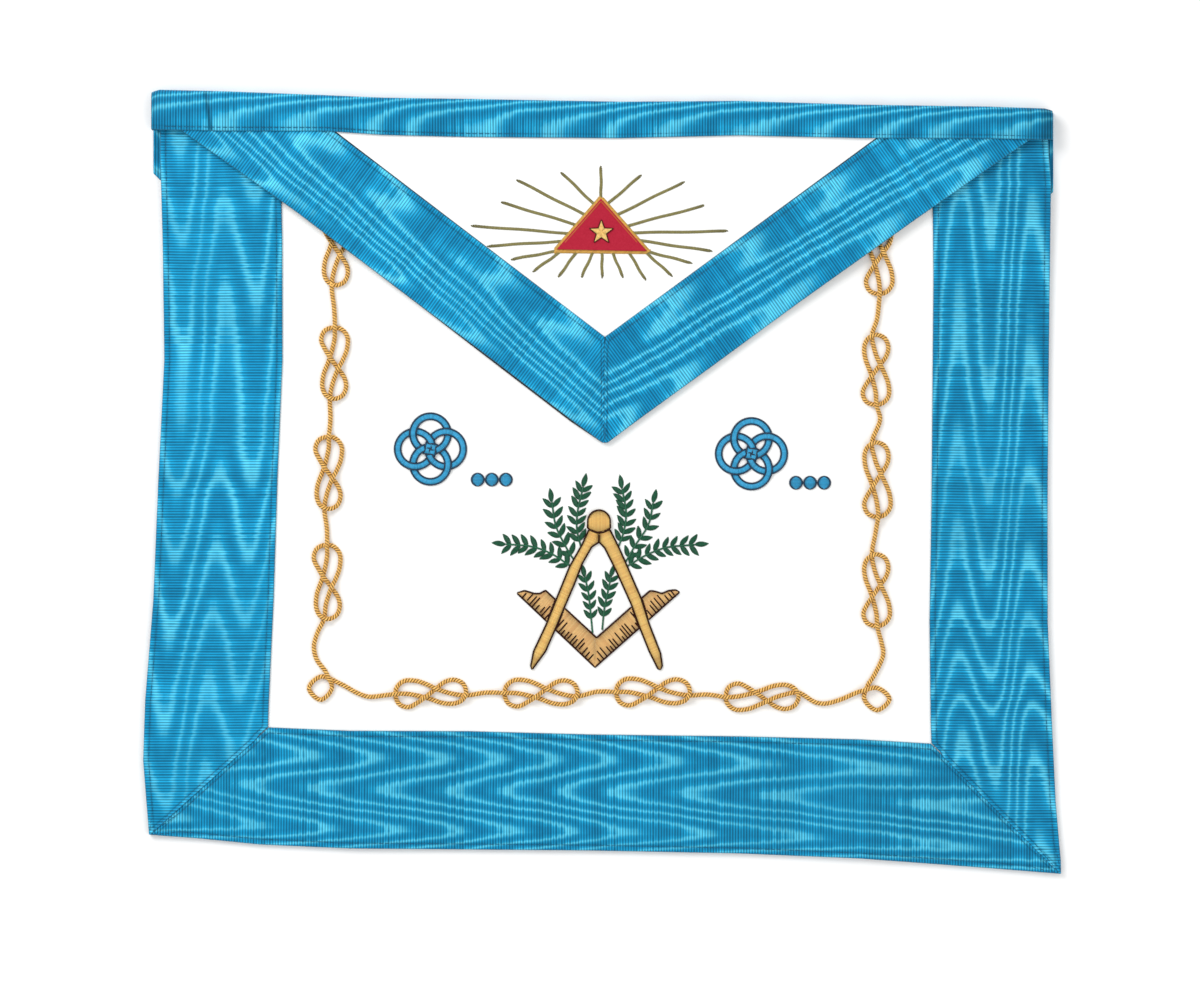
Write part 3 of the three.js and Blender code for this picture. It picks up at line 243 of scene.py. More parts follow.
def moire_grosgrain(add, shader, colours):
    """Acetate grosgrain, woven with thick weft ribs and calendered to a moire.

    The pressed ribs shine in flame-shaped bands between darker ones, and each
    rib has a painted highlight on its crown and painted shade in the groove beside it.
    """
    dark, mid, light = colours.ribbon_dark, colours.ribbon_mid, colours.ribbon_light
    along, moire, blur, dim, rim = (
        add(VALUE, out="Fac", attribute_name=name)
        for name in ("along", "moire", "blur", "dim", "rim")
    )
    pitch = bpy.context.scene.apron_cloth.rib_pitch
    ribs = add(MATH, {0: along, 1: pitch}, operation="DIVIDE")
    number = add(MATH, {0: ribs}, operation="FLOOR")
    each = add("ShaderNodeTexWhiteNoise", {"W": number}, "Value", noise_dimensions="1D")
    jumped = add(MATH, {0: each, 1: 0.12, 2: moire}, operation="MULTIPLY_ADD")
    phase = add(MATH, {0: jumped}, operation="FRACT")
    banded = add("ShaderNodeValToRGB", {0: phase})
    ramp = banded.node.color_ramp
    ramp.interpolation = "B_SPLINE"
    for k, (place, colour) in enumerate((
        (0.0, mid),
        (1.0, mid),
        (0.09, blended(mid, light, 0.75)),
        (0.17, light),
        (0.27, blended(mid, light, 0.6)),
        (0.37, blended(dark, mid, 0.75)),
        (0.5, blended(dark, mid, 0.25)),
        (0.66, dark),
        (0.82, blended(dark, mid, 0.3)),
        (0.93, blended(dark, mid, 0.7)),
    )):
        element = ramp.elements[k] if k < 2 else ramp.elements.new(place)
        element.position, element.color = place, rgba(colour)
    melted = {0: blur, 6: banded, 7: rgba(blended(dark, mid, 0.85))}
    colour = add(MIX, melted, 2, data_type="RGBA")
    # Painted highlight on each rib and painted shade in its groove, times a random tone per rib, the
    # slubs, and the painted light and shade carried in dim
    turn = add(MATH, {0: ribs, 1: 2 * math.pi}, operation="MULTIPLY")
    wave = add(MATH, {0: turn}, operation="COSINE")
    shade = add(MATH, {0: wave, 1: 0.42, 2: 0.92}, operation="MULTIPLY_ADD")
    slub = add(NOISE, {"Vector": add(PLACE, out="Object"), "Scale": 450.0, "Detail": 2.0})
    for factor in (
        add(RANGE, {0: each, "To Min": 0.84, "To Max": 1.13}),
        add(RANGE, {0: slub, "To Min": 0.9, "To Max": 1.1}),
        dim,
    ):
        shade = add(MATH, {0: shade, 1: factor}, operation="MULTIPLY")
    colour = add(MIX, {0: 1.0, 6: colour, 7: shade}, 2, data_type="RGBA", blend_type="MULTIPLY")
    edge = add(RANGE, {0: rim, "From Max": 0.6 * MM, "To Min": 0.6, "To Max": 0.0})
    colour = add(MIX, {0: edge, 6: colour, 7: rgba(linear("#3A6A80"))}, 2, data_type="RGBA")
    fill(shader, {
        "Roughness": 0.5, "Specular IOR Level": 0.1, "Base Color": colour,
        "Normal": add(BUMP, {"Height": slub, "Distance": 0.05 * MM, "Strength": 1.0}),
    })


def embossed_leatherette(add, shader, colours):
    """Coated white leatherette, embossed with a fine calf grain.

    It looks almost plain white, with a soft broken gloss close to.
    """
    place = add(PLACE, out="Object")
    # Calf grain is about 0.4 mm; it is drawn at 0.7 mm so that it shows
    grain = add("ShaderNodeTexVoronoi", {"Vector": place, "Scale": 1 / (0.7 * MM)}, "Distance")
    cloud = add(NOISE, {"Vector": place, "Scale": 25.0, "Detail": 3.0})
    tints = {0: cloud, 6: rgba(colours.leatherette), 7: rgba(linear("#F1F2F2"))}
    fill(shader, {
        "Specular IOR Level": 0.3, "Base Color": add(MIX, tints, 2, data_type="RGBA"),
        "Roughness": add(RANGE, {0: grain, "To Min": 0.44, "To Max": 0.6}),
        "Normal": add(BUMP, {"Height": grain, "Distance": 0.04 * MM, "Strength": 0.5}),
    })


def cotton_lining(add, shader, colours):
    """Plain cotton lining, woven and dyed black, matt with a faint thread grid."""
    # Lining has about 30 threads to the centimetre; it is drawn at 16 so that it shows
    weave = {"Vector": add(PLACE, out="Object"), "Scale": 1 / (0.62 * MM)}
    checks = add("ShaderNodeTexChecker", weave, "Fac")
    raised = rgba(blended(colours.lining, WHITE, 0.03))
    fill(shader, {
        "Roughness": 0.85,
        "Base Color": add(MIX, {0: checks, 6: rgba(colours.lining), 7: raised}, 2, data_type="RGBA"),
        "Normal": add(BUMP, {"Height": checks, "Distance": 0.05 * MM, "Strength": 1.0}),
    })


def wool_felt(add, shader, colours):
    """Pressed wool felt, matt, with short matted fibres that catch the light."""
    fibres = add(NOISE, {
        "Vector": add(PLACE, out="Object"), "Scale": 900.0, "Detail": 6.0,
        "Roughness": 0.75, "Distortion": 1.5,
    })
    tints = {
        0: fibres, 6: rgba(blended(colours.felt, BLACK, 0.3)),
        7: rgba(blended(colours.felt, linear("#E8506A"), 0.35)),
    }
    fill(shader, {
        "Roughness": 0.95, "Specular IOR Level": 0.1, "Sheen Weight": 0.06,
        "Base Color": add(MIX, tints, 2, data_type="RGBA"),
        "Normal": add(BUMP, {"Height": fibres, "Distance": 0.15 * MM, "Strength": 1.0}),
    })


def brushed_nickel(add, shader, colours):
    """Nickel-plated stamped steel, brushed before plating, with fine straight scratches."""
    stretched = {"Vector": add(PLACE, out="Object"), "Scale": (40.0, 3000.0, 1.0)}
    scratches = add(NOISE, {"Vector": add("ShaderNodeMapping", stretched), "Scale": 1.0})
    scratched = rgba(blended(colours.clasp, BLACK, 0.15))
    tints = {0: scratches, 6: rgba(colours.clasp), 7: scratched}
    fill(shader, {
        "Metallic": 1.0, "Base Color": add(MIX, tints, 2, data_type="RGBA"),
        "Roughness": add(RANGE, {0: scratches, "To Min": 0.22, "To Max": 0.42}),
        "Normal": add(BUMP, {"Height": scratches, "Distance": 0.01 * MM, "Strength": 1.0}),
    })


def painted_board(add, shader, colours):
    """Matt painted board, plain and pale."""
    cloud = add(NOISE, {"Vector": add(PLACE, out="Object"), "Scale": 3.0})
    tints = {0: cloud, 6: rgba(colours.floor), 7: rgba(blended(colours.floor, WHITE, 0.2))}
    fill(shader, {"Roughness": 0.8, "Base Color": add(MIX, tints, 2, data_type="RGBA")})


def silky_thread(add, shader, crown, deep, gloss, relief=0.06 * MM):
    """Rayon or gilt thread: silky, with painted light on its crown and painted shade where it dives
    in.
    """
    each, dim = (add(VALUE, out="Fac", attribute_name=name) for name in ("thread", "dim"))
    fibre = add(NOISE, {
        "Vector": add(PLACE, out="Object"), "Scale": 2200.0, "Detail": 2.0, "Roughness": 0.7,
    })
    share = add(RANGE, {0: each, "To Min": 0.0, "To Max": 0.5})
    colour = add(MIX, {0: share, 6: rgba(crown), 7: rgba(deep)}, 2, data_type="RGBA")
    # Painted sheen along the fibres, times the painted light and shade carried in dim
    sheen = add(RANGE, {0: fibre, "To Min": 0.82, "To Max": 1.12})
    shade = add(MATH, {0: sheen, 1: dim}, operation="MULTIPLY")
    colour = add(MIX, {0: 1.0, 6: colour, 7: shade}, 2, data_type="RGBA", blend_type="MULTIPLY")
    fill(shader, {
        "Roughness": 0.4, "Specular IOR Level": gloss, "Base Color": colour,
        "Normal": add(BUMP, {"Height": fibre, "Distance": relief, "Strength": 1.0}),
    })


def thread_looks(colours):
    """Each thread's own colour, a darker colour that each thread takes its own share of, its gloss,
    and for the cord its relief.
    """
    ribbon, navy = colours.ribbon_dark, colours.navy
    return {
        "dyed polyester thread": (blended(ribbon, BLACK, 0.2), blended(ribbon, BLACK, 0.5), 0.3),
        "gold rayon thread": (colours.gold, linear("#E2A75E"), 0.35),
        "tan rayon thread": (linear("#FFD995"), linear("#DFA062"), 0.35),
        "brown rayon thread": (colours.outline, linear("#3E1A0A"), 0.1),
        "twisted gilt cord": (colours.cord, linear("#C68638"), 0.35, 0.12 * MM),
        "green rayon thread": (colours.leaf, blended(colours.leaf, BLACK, 0.45), 0.4),
        "sky-blue rayon thread": (colours.rosette, blended(colours.rosette, navy, 0.5), 0.45),
        "navy rayon thread": (navy, blended(navy, BLACK, 0.4), 0.35),
        "yellow gilt thread": (linear("#E0AE48"), linear("#A9762A"), 0.5),
        "orange rayon thread": (linear("#B4561E"), linear("#7A3812"), 0.35),
        "old-gold rayon thread": (colours.old_gold, blended(colours.old_gold, BLACK, 0.35), 0.4),
    }


FINISHES = {
    "acetate moire grosgrain": moire_grosgrain,
    "embossed leatherette": embossed_leatherette,
    "cotton lining": cotton_lining,
    "wool felt": wool_felt,
    "brushed nickel plate": brushed_nickel,
    "matt painted board": painted_board,
}


def finish(name):
    """The material of that name, made on first use."""
    if name in bpy.data.materials:
        return bpy.data.materials[name]
    material = bpy.data.materials.new(name)
    material.use_nodes = True
    tree, colours = material.node_tree, bpy.context.scene.apron_colours
    add, shader = functools.partial(add_node, tree), tree.nodes["Principled BSDF"]
    if name in FINISHES:
        FINISHES[name](add, shader, colours)
    else:
        silky_thread(add, shader, *thread_looks(colours)[name])
    return material


# Pieces from arrays


def make_piece(name, points, faces, material, nodes=(), values=None):
    """A smooth mesh piece that rides on the body and stands for the nodes."""
    mesh = bpy.data.meshes.new(name)
    mesh.from_pydata(np.asarray(points).reshape(-1, 3).tolist(), [], faces)
    for key, numbers in (values or {}).items():
        layer = mesh.attributes.new(key, "FLOAT", "POINT")
        layer.data.foreach_set("value", np.asarray(numbers, np.float32).ravel())
    mesh.polygons.foreach_set("use_smooth", [True] * len(mesh.polygons))
    mesh.materials.append(finish(material))
    mesh.update()
    piece = bpy.data.objects.new(name, mesh)
    bpy.context.scene.collection.objects.link(piece)
    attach(piece, BODY)
    if nodes:
        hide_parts(*nodes)
    return piece


def closed_grid_faces(rows, columns, low):
    """Faces of a closed sheet: a grid on top, some of its columns below, walls round it."""
    start = rows * columns
    width = len(low)
    top = np.arange(rows * columns).reshape(rows, columns)
    under = start + np.arange(rows * width).reshape(rows, width)

    def quads(a, b, c, d):
        return np.stack([a, b, c, d], -1).reshape(-1, 4).tolist()

    faces = quads(top[:-1, :-1], top[1:, :-1], top[1:, 1:], top[:-1, 1:])
    faces += quads(under[:-1, :-1], under[:-1, 1:], under[1:, 1:], under[1:, :-1])
    faces += quads(top[:-1, 0], under[:-1, 0], under[1:, 0], top[1:, 0])
    faces += quads(top[1:, -1], under[1:, -1], under[:-1, -1], top[:-1, -1])
    faces.append([*top[0].tolist(), *under[0][::-1].tolist()])
    faces.append([*top[-1][::-1].tolist(), *under[-1].tolist()])
    return faces


def outline_of(node):
    """The points of a CAD node seen from above, and the pairs that its edges join."""
    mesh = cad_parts[node].data
    return (
        np.array([v.co[:2] for v in mesh.vertices]),
        np.array([e.vertices[:] for e in mesh.edges]),
    )


def left_of(way):
    """The direction to the left of a direction, or of each of several."""
    return np.stack([-way[..., 1], way[..., 0]], -1)


def heading(degrees):
    turn = math.radians(degrees)
    return np.array([math.cos(turn), math.sin(turn)])


def way_between(start, end):
    """The direction from the start to the end, and the distance."""
    length = np.linalg.norm(end - start)
    return (end - start) / length, length


class Layout:
    """Rows of points laid across an outline, along a direction given in degrees."""

    def __init__(self, outline, degrees, step, edge_places, inner_count, full_width=None):
        self.forward = heading(degrees)
        self.left = left_of(self.forward)
        points, pairs = outline
        along, across = points @ self.forward, points @ self.left
        starts, ends = along[pairs[:, 0]], along[pairs[:, 1]]
        small = 0.02 * MM
        count = int((along.max() - along.min() - 2 * small) / step)
        self.stations = np.linspace(along.min() + small, along.max() - small, count)
        self.low, self.high = np.empty(count), np.empty(count)
        for k, station in enumerate(self.stations):
            cut = ((starts - station) * (ends - station) <= 0) & (starts != ends)
            share = (station - starts[cut]) / (ends[cut] - starts[cut])
            first, second = across[pairs[cut, 0]], across[pairs[cut, 1]]
            crossings = first + (second - first) * share
            self.low[k], self.high[k] = crossings.min(), crossings.max()
        self.place(edge_places, inner_count, full_width)

    def widen_mitre(self, at_end, extra):
        """Moves the high edge outwards where a mitre narrows one end of the strip."""
        width = self.high - self.low
        half = self.stations > self.stations.mean()
        mitred = np.clip((0.93 * width.max() - width) / (2 * MM), 0, 1)
        mitred = mitred * (half if at_end else ~half)
        self.high = self.high + extra * mitred
        return mitred

    def place(self, edge_places, inner_count, full_width):
        """Spreads the points of each row: close together at both edges, even between them."""
        width = np.maximum(self.high - self.low, 0.05 * MM)[:, None]
        edge = np.asarray(edge_places)[None, :]
        near = edge * np.minimum(1, width / (4 * edge[0, -1]))
        inner = np.linspace(0, 1, inner_count + 2)[None, 1:-1]
        middle = near[:, -1:] + (width - 2 * near[:, -1:]) * inner
        self.from_low = np.concatenate([near, middle, (width - near)[:, ::-1]], 1)
        self.from_high = width - self.from_low
        across = self.low[:, None] + self.from_low
        self.along = np.repeat(self.stations[:, None], across.shape[1], 1)
        self.x = self.along * self.forward[0] + across * self.left[0]
        self.y = self.along * self.forward[1] + across * self.left[1]
        self.share = self.from_low / (full_width or width)
        self.rim = np.minimum(self.from_low, self.from_high)

    def points(self, z, columns=slice(None)):
        return np.stack([self.x[:, columns], self.y[:, columns], z], -1)


def rounded(distance, width):
    """0 at an edge and 1 from the width inwards, as a quarter circle."""
    share = np.clip(1 - distance / width, 0, 1)
    return np.sqrt(1 - share**2)


def blur_of(waves, across, x, y, marks):
    """How far the bands melt into each other: more where they lie close, and in patches."""
    steep = np.abs(np.gradient(waves, axis=1) / np.maximum(np.gradient(across, axis=1), 1e-6))
    patches = marks["soft"] + 0.3 * noise_field(19 * MM, marks["seed"] + 9).at(x, y)
    return np.clip((steep * MM - 0.08) / 0.3, 0, marks["melt"]) + np.clip(patches, 0, 0.4)


def smooth_table_at(table, x):
    """The table read as a smooth curve that turns only at its rows."""
    places, values = (np.array(c, float) for c in zip(*table))
    slopes = np.diff(values) / np.diff(places)
    before, after = slopes[:-1], slopes[1:]
    both = np.where(before * after > 0, before + after, 1)
    inner = np.where(before * after > 0, 2 * before * after / both, 0)
    bends = np.concatenate([slopes[:1], inner, slopes[-1:]])
    k = np.clip(np.searchsorted(places, x) - 1, 0, len(places) - 2)
    width = places[k + 1] - places[k]
    t = np.clip((x - places[k]) / width, 0, 1)
    return (
        values[k] * (2 * t**3 - 3 * t**2 + 1) + values[k + 1] * (3 * t**2 - 2 * t**3)
        + width * (bends[k] * (t**3 - 2 * t**2 + t) + bends[k + 1] * (t**3 - t**2))
    )


def waves_at(along, share, marks, x, y):
    """How many moire bands lie before a point of a ribbon."""
    seed = marks["seed"]
    cloud = noise_field(38 * MM, seed).at(x, y) + 0.4 * noise_field(13 * MM, seed + 1).at(x, y)
    fine = noise_field(6 * MM, seed + 2).at(x, y)
    run = smooth_table_at(marks["along"], along / MM)
    return run - smooth_table_at(marks["across"], share) + marks["cloud"] * cloud + 0.05 * fine


# Moire marks of each ribbon: bands counted along it against millimetres from the
# apron's middle, and how far they reach on against the share of its width
# Their dim paints each whole ribbon lighter or darker for the light it catches
MARKS = {
    "side_ribbon_left": {
        "along": [(-180, -1.2), (-133, 0), (-86, 1), (-14, 2), (22, 3), (52, 4), (86, 5),
                  (124, 6), (170, 7.3)],
        "across": [(0, 1.6), (0.17, 2.3), (0.52, 0), (0.8, 1.0), (1, -0.4)],
        "cloud": 0.24, "dim": 1.1, "seed": 11, "soft": 0.28, "melt": 0.3,
    },
    "side_ribbon_right": {
        "along": [(-172, -8), (-108, -6), (-95, -5), (-75, -4), (-49, -3), (-5, -2), (36, -1),
                  (97, 0), (150, 0.9)],
        "across": [(0, -0.4), (0.17, 0.2), (0.5, -3.0), (0.765, -1.5), (1, -3.3)],
        "cloud": 0.21, "dim": 1.02, "seed": 21, "soft": 0.02, "melt": 0.25,
    },
    "bottom_ribbon": {
        "along": [(-210, -4.2), (-160, -2.8), (-116, -1.4), (-75, 0), (-50, 1), (-25, 2), (-1, 3),
                  (31, 4), (67, 5), (110, 5.7), (158, 6.3), (210, 7)],
        "across": [(0, -0.6), (0.157, 1.3), (0.5, -1.85), (0.775, 0), (1, -2.0)],
        "cloud": 0.21, "dim": 0.99, "seed": 31, "soft": -0.05, "melt": 0.2,
    },
    "flap_ribbon_left": {
        "along": [(-260, -4), (-180, -1.6), (-100, 0), (0, 1.9), (60, 3.2), (140, 4.8)],
        "across": [(0, 0.9), (0.12, 1.2), (0.36, -1.2), (0.66, -3.3), (0.85, -3.0), (1, -3.3)],
        "cloud": 0.42, "dim": 1.15, "seed": 41, "soft": 0.05, "melt": 0.2,
    },
    "flap_ribbon_right": {
        "along": [(-140, 0), (-60, 1.3), (0, 2.4), (60, 3.8), (120, 5.2), (260, 8)],
        "across": [(0, 1.7), (0.14, 1.9), (0.4, 0.2), (0.7, -2.2), (0.86, -2.0), (1, -2.3)],
        "cloud": 0.38, "dim": 1.11, "seed": 51, "soft": -0.12, "melt": 0.1,
    },
    "waistband": {
        "along": [(-210, 0), (210, 14)],
        "across": [(0, 0), (0.3, 0.05), (0.6, 0.5), (0.85, 1.4), (1, 2.2), (1.6, 3), (2.2, 1)],
        "cloud": 0.4, "dim": 1.03, "seed": 61, "soft": -0.12, "melt": 0.1,
    },
    "belt": {
        "along": [(-210, 0), (210, 9)],
        "across": [(0, 0), (0.3, 0.8), (0.7, -0.5), (1, 0.6)],
        "cloud": 0.4, "dim": 0.85, "seed": 71, "soft": 0.08, "melt": 0.3,
    },
}
# Directions of the flap's ribbons, in degrees
FLAP_SLOPE_LEFT = -36.1
FLAP_SLOPE_RIGHT = 35.8
# How far in from a ribbon's edges its points lie; the topstitching runs along one of them
EDGE_PLACES = [0, 0.12 * MM, 0.35 * MM, 0.8 * MM, 1.5 * MM, 2.1 * MM, 2.5 * MM, 2.9 * MM, 3.6 * MM]
SEAM_COLUMN = 6
COVERED_COLUMN = 4
# What sewing and pressing do to a ribbon
SEAM_WIDTH, SEAM_DEPTH = 0.5 * MM, 0.22 * MM
MITRE_LAP, MITRE_WIDTH, MITRE_RISE = 0.8 * MM, 1.3 * MM, 0.62 * MM
SWAY_LENGTH, RIB_SWAY = 26 * MM, 0.35 * MM
PUCKER_LENGTH, PUCKER_HEIGHT = 9 * MM, 0.12 * MM
EDGE_ROUND, CALM_EDGE = 0.8 * MM, 3 * MM
THINNEST_RIBBON = 0.1 * MM
CLOTH_EDGE_PLACES = [0, 0.3 * MM, 1 * MM]
CLOTH_EDGE_ROUND, CLOTH_EDGE_FALL, THINNEST_CLOTH = 0.5 * MM, 0.35 * MM, 0.4 * MM


def make_sheet(name, layout, z, under, low, material, node, values=None):
    """A closed sheet over a CAD node: its heights on top, and below in some columns."""

    def both(key, upper):
        """A value on top and below, where every point counts as lying at the rim."""
        lower = upper[:, low] * (key != "rim")
        return np.concatenate([upper.ravel(), lower.ravel()])

    points = np.concatenate([
        layout.points(z).reshape(-1, 3), layout.points(under, low).reshape(-1, 3)
    ])
    return make_piece(
        name, points, closed_grid_faces(*z.shape, low), material, [node],
        {key: both(key, upper) for key, upper in (values or {}).items()},
    )


def make_ribbon(name, node, degrees, width, marks, under_inside, under_edge=None,
                inner_count=20, seams=(1, 1), mitre=None):
    """A ribbed moire ribbon laid over a CAD node, its ribs across its length.

    A mitre at its start or end is a raised fold that laps over the next ribbon.
    """
    cloth = bpy.context.scene.apron_cloth
    pitch, seed = cloth.rib_pitch, marks["seed"]
    layout = Layout(outline_of(node), degrees, pitch / 3, EDGE_PLACES, inner_count, width)
    fold = 0.0
    if mitre:
        rows = layout.widen_mitre(mitre == "end", MITRE_LAP)
        layout.place(EDGE_PLACES, inner_count, width)
        fold = np.exp(-((layout.from_high / MITRE_WIDTH) ** 2)) * rows[:, None]
    x, y = layout.x, layout.y
    ribs = layout.along + noise_field(SWAY_LENGTH, seed + 5).at(x, y) * RIB_SWAY
    calm = np.clip(layout.rim / CALM_EDGE, 0, 1)
    sides = ((layout.from_low, seams[0]), (layout.from_high, seams[1]))
    seam = sum(
        np.exp(-(((distance - cloth.stitch_inset) / SEAM_WIDTH) ** 2)) * sewn
        for distance, sewn in sides
    )
    z = (
        height_field(node, 1).at(x, y)
        - cloth.edge_fall * (1 - rounded(layout.rim, EDGE_ROUND))
        - SEAM_DEPTH * seam
        + MITRE_RISE * fold
        + noise_field(PUCKER_LENGTH, seed + 6).at(x, y) * PUCKER_HEIGHT * calm
        + cloth.rib_height * np.cos(2 * np.pi * ribs / pitch) * np.clip(calm * 3, 0, 1)
    )
    last = x.shape[1] - 1
    low = [0, COVERED_COLUMN, last // 3, last // 2, 2 * last // 3, last - COVERED_COLUMN, last]
    under = under_inside(x[:, low], y[:, low])
    if under_edge:
        under[:, 0] = under_edge(x[:, 0], y[:, 0])
    under = np.minimum(under, z[:, low] - THINNEST_RIBBON)
    waves = waves_at(layout.along, layout.share, marks, x, y)
    # Painted shade along the seams' grooves and a painted highlight on the raised mitre fold, on
    # each ribbon's painted brightness and a random tone
    shade = marks["dim"] * (1 - 0.3 * seam) * (1 + 0.06 * noise_field(30 * MM, 3).at(x, y))
    piece = make_sheet(
        name, layout, z, under, low, "acetate moire grosgrain", node,
        {
            "moire": waves, "along": ribs, "dim": shade * (1 + 0.1 * fold),
            "blur": blur_of(waves, layout.from_low, x, y, marks), "rim": layout.rim,
        },
    )
    seam_lines = [
        np.stack([x[:, column], y[:, column], z[:, column]], -1)
        for column, sewn in ((SEAM_COLUMN, seams[0]), (last - SEAM_COLUMN, seams[1])) if sewn
    ]
    return piece, seam_lines


def drawn_in(outline, inset):
    """An outline made smaller by an inset on each side of its box."""
    points, pairs = outline
    low, high = points.min(0), points.max(0)
    middle = (low + high) / 2
    return middle + (points - middle) * (1 - 2 * inset / (high - low)), pairs


def make_cloth(name, node, step, columns, material, inset=0.0, roughness=0.0, seed=1,
               thickness=1.0 * MM, outline=None):
    """A plain sheet of cloth or leatherette over a CAD node."""
    outline = drawn_in(outline or outline_of(node), inset)
    layout = Layout(outline, -90, step, CLOTH_EDGE_PLACES, columns)
    x, y = layout.x, layout.y
    z = height_field(node, 1).at(x, y)
    z = z - CLOTH_EDGE_FALL * (1 - rounded(layout.rim, CLOTH_EDGE_ROUND))
    z = z + noise_field(16 * MM, seed).at(x, y) * roughness
    last = x.shape[1] - 1
    low = [0, 2, *range(8, last - 7, 6), last - 2, last]
    under = np.maximum(height_field(node, -1).at(x, y)[:, low], z[:, low] - thickness)
    under = np.minimum(under, z[:, low] - THINNEST_CLOTH)
    return make_sheet(name, layout, z, under, low, material, node)


# Threads

ARCH_PLACES = np.array([0, 0.1, 0.3, 0.5, 0.7, 0.9, 1])
ARCH_WIDTHS = np.array([0.55, 0.9, 1, 1, 1, 0.9, 0.55])
SMALL_ARCH = [0, 1, 3, 5, 6]
RING_SIDES = np.array([-0.5, 0.5, 0.36, 0, -0.36])
RING_RISES = np.array([0, 0, 0.72, 1, 0.72])
ARCH_END, ARCH_POWER = 0.06, 0.6
# How much of its own width a thread stands above the padding, and how deep its foot sinks
THREAD_CROWN, THREAD_SINK = 0.3, 0.05 * MM
# Painted shade where a thread dives in, and painted light at its foot and on its crown
ROOT_SHADE, FOOT_LIGHT, CROWN_LIGHT = 0.42, 0.86, 1.02
# How wide a thread of a filled form is drawn against the pitch, so that threads meet
COVER = 1.12
STITCH_WIDTH, STITCH_PAD = 0.38 * MM, 0.12 * MM


class Threads:
    """Satin-stitch threads side by side: each a closed low arch from one edge to the other."""

    def __init__(self, surface, seed, small=False):
        self.surface, self.random = surface, np.random.default_rng(seed)
        chosen = SMALL_ARCH if small else slice(None)
        self.places, self.spread = ARCH_PLACES[chosen], ARCH_WIDTHS[chosen]
        self.rows = []

    def add(self, starts, ends, width, pad, lift=0.0, dim=1.0):
        """Adds threads between two rows of points; the pad is the height under their crowns."""
        starts, ends = np.atleast_2d(starts), np.atleast_2d(ends)
        rows = np.empty((len(starts), 8))
        rows[:, 0:2], rows[:, 2:4] = starts[:, :2], ends[:, :2]
        for column, value in enumerate((width, pad, lift, dim), 4):
            rows[:, column] = value
        self.rows.append(rows)

    def add_across(self, middle, way, half, slant, width, pad, dim=1.0):
        """Adds threads across a line of points, half to each side, from right to left.

        The slant is how far their ends lie onwards, as a share of half.
        """
        half = np.broadcast_to(half, (len(middle),))[:, None]
        across = left_of(way) * half + way * half * slant
        self.add(middle - across, middle + across, width, pad, 0.0, dim)

    def piece(self, name, material, slot, nodes=()):
        rows = np.concatenate(self.rows)
        starts, ends = rows[:, 0:2], rows[:, 2:4]
        widths, pads, lifts, dims = (rows[:, column : column + 1] for column in (4, 5, 6, 7))
        run = ends - starts
        side = left_of(run) / np.maximum(np.linalg.norm(run, axis=1), 1e-9)[:, None]
        t = self.places[None, :]
        middle = starts[:, None, :] + run[:, None, :] * t[..., None]
        base = self.surface(middle[..., 0], middle[..., 1]) + lifts
        arch = np.sin(np.pi * np.clip(t, ARCH_END, 1 - ARCH_END)) ** ARCH_POWER
        crown = pads * arch + THREAD_CROWN * widths
        across = self.spread[None, :, None] * RING_SIDES * widths[..., None]
        flat = middle[:, :, None, :] + side[:, None, None, :] * across[..., None]
        z = base[..., None] + RING_RISES * crown[..., None] - THREAD_SINK
        points = np.concatenate([flat, z[..., None]], -1)
        shape = points.shape[:3]
        index = np.arange(np.prod(shape)).reshape(shape)
        a, b = index[:, :-1], index[:, 1:]
        faces = np.stack([a, np.roll(a, -1, 2), np.roll(b, -1, 2), b], -1).reshape(-1, 4)
        faces = faces.tolist() + index[:, 0, ::-1].tolist() + index[:, -1, :].tolist()
        each = self.random.uniform(0, 1, (len(rows), 1, 1))
        # Painted shade towards the thread's ends where it dives in, and painted light rising from
        # its foot to its crown
        painted_root_shade = (1 - ROOT_SHADE * (1 - arch))[..., None] * dims[..., None]
        light = FOOT_LIGHT + (CROWN_LIGHT - FOOT_LIGHT) * RING_RISES
        return make_piece(
            name, points, faces, material, nodes,
            {
                "thread": np.broadcast_to(each, shape),
                "dim": np.broadcast_to(painted_root_shade * light, shape),
            },
        )


def spans_of(loop, degrees, step):
    """Threads across a closed outline, side by side along a direction, as two rows of ends."""
    forward = heading(degrees)
    left = left_of(forward)
    after = np.roll(loop, -1, 0)
    a, b, c, d = loop @ forward, after @ forward, loop @ left, after @ left
    starts, ends = [], []
    for station in np.arange(min(a) + step / 2, max(a), step):
        cut = (a < station) != (b < station)
        share = (station - a[cut]) / (b[cut] - a[cut])
        crossings = np.sort(c[cut] + (d[cut] - c[cut]) * share)
        for low, high in zip(crossings[::2], crossings[1::2]):
            if high - low > 0.3 * MM:
                starts.append(forward * station + left * low)
                ends.append(forward * station + left * high)
    return np.array(starts).reshape(-1, 2), np.array(ends).reshape(-1, 2)


def trimmed(starts, ends, normal, limit):
    """The threads cut off where they pass a line: normal times point above the limit goes."""
    normal = np.asarray(normal, float)
    a, b = starts @ normal - limit, ends @ normal - limit
    keep = (a <= 0) | (b <= 0)
    starts, ends, a, b = starts[keep], ends[keep], a[keep], b[keep]
    share = (a / np.where(a == b, 1, a - b))[:, None]
    cross = starts + (ends - starts) * share
    return (
        np.where((a > 0)[:, None], cross, starts), np.where((b > 0)[:, None], cross, ends)
    )


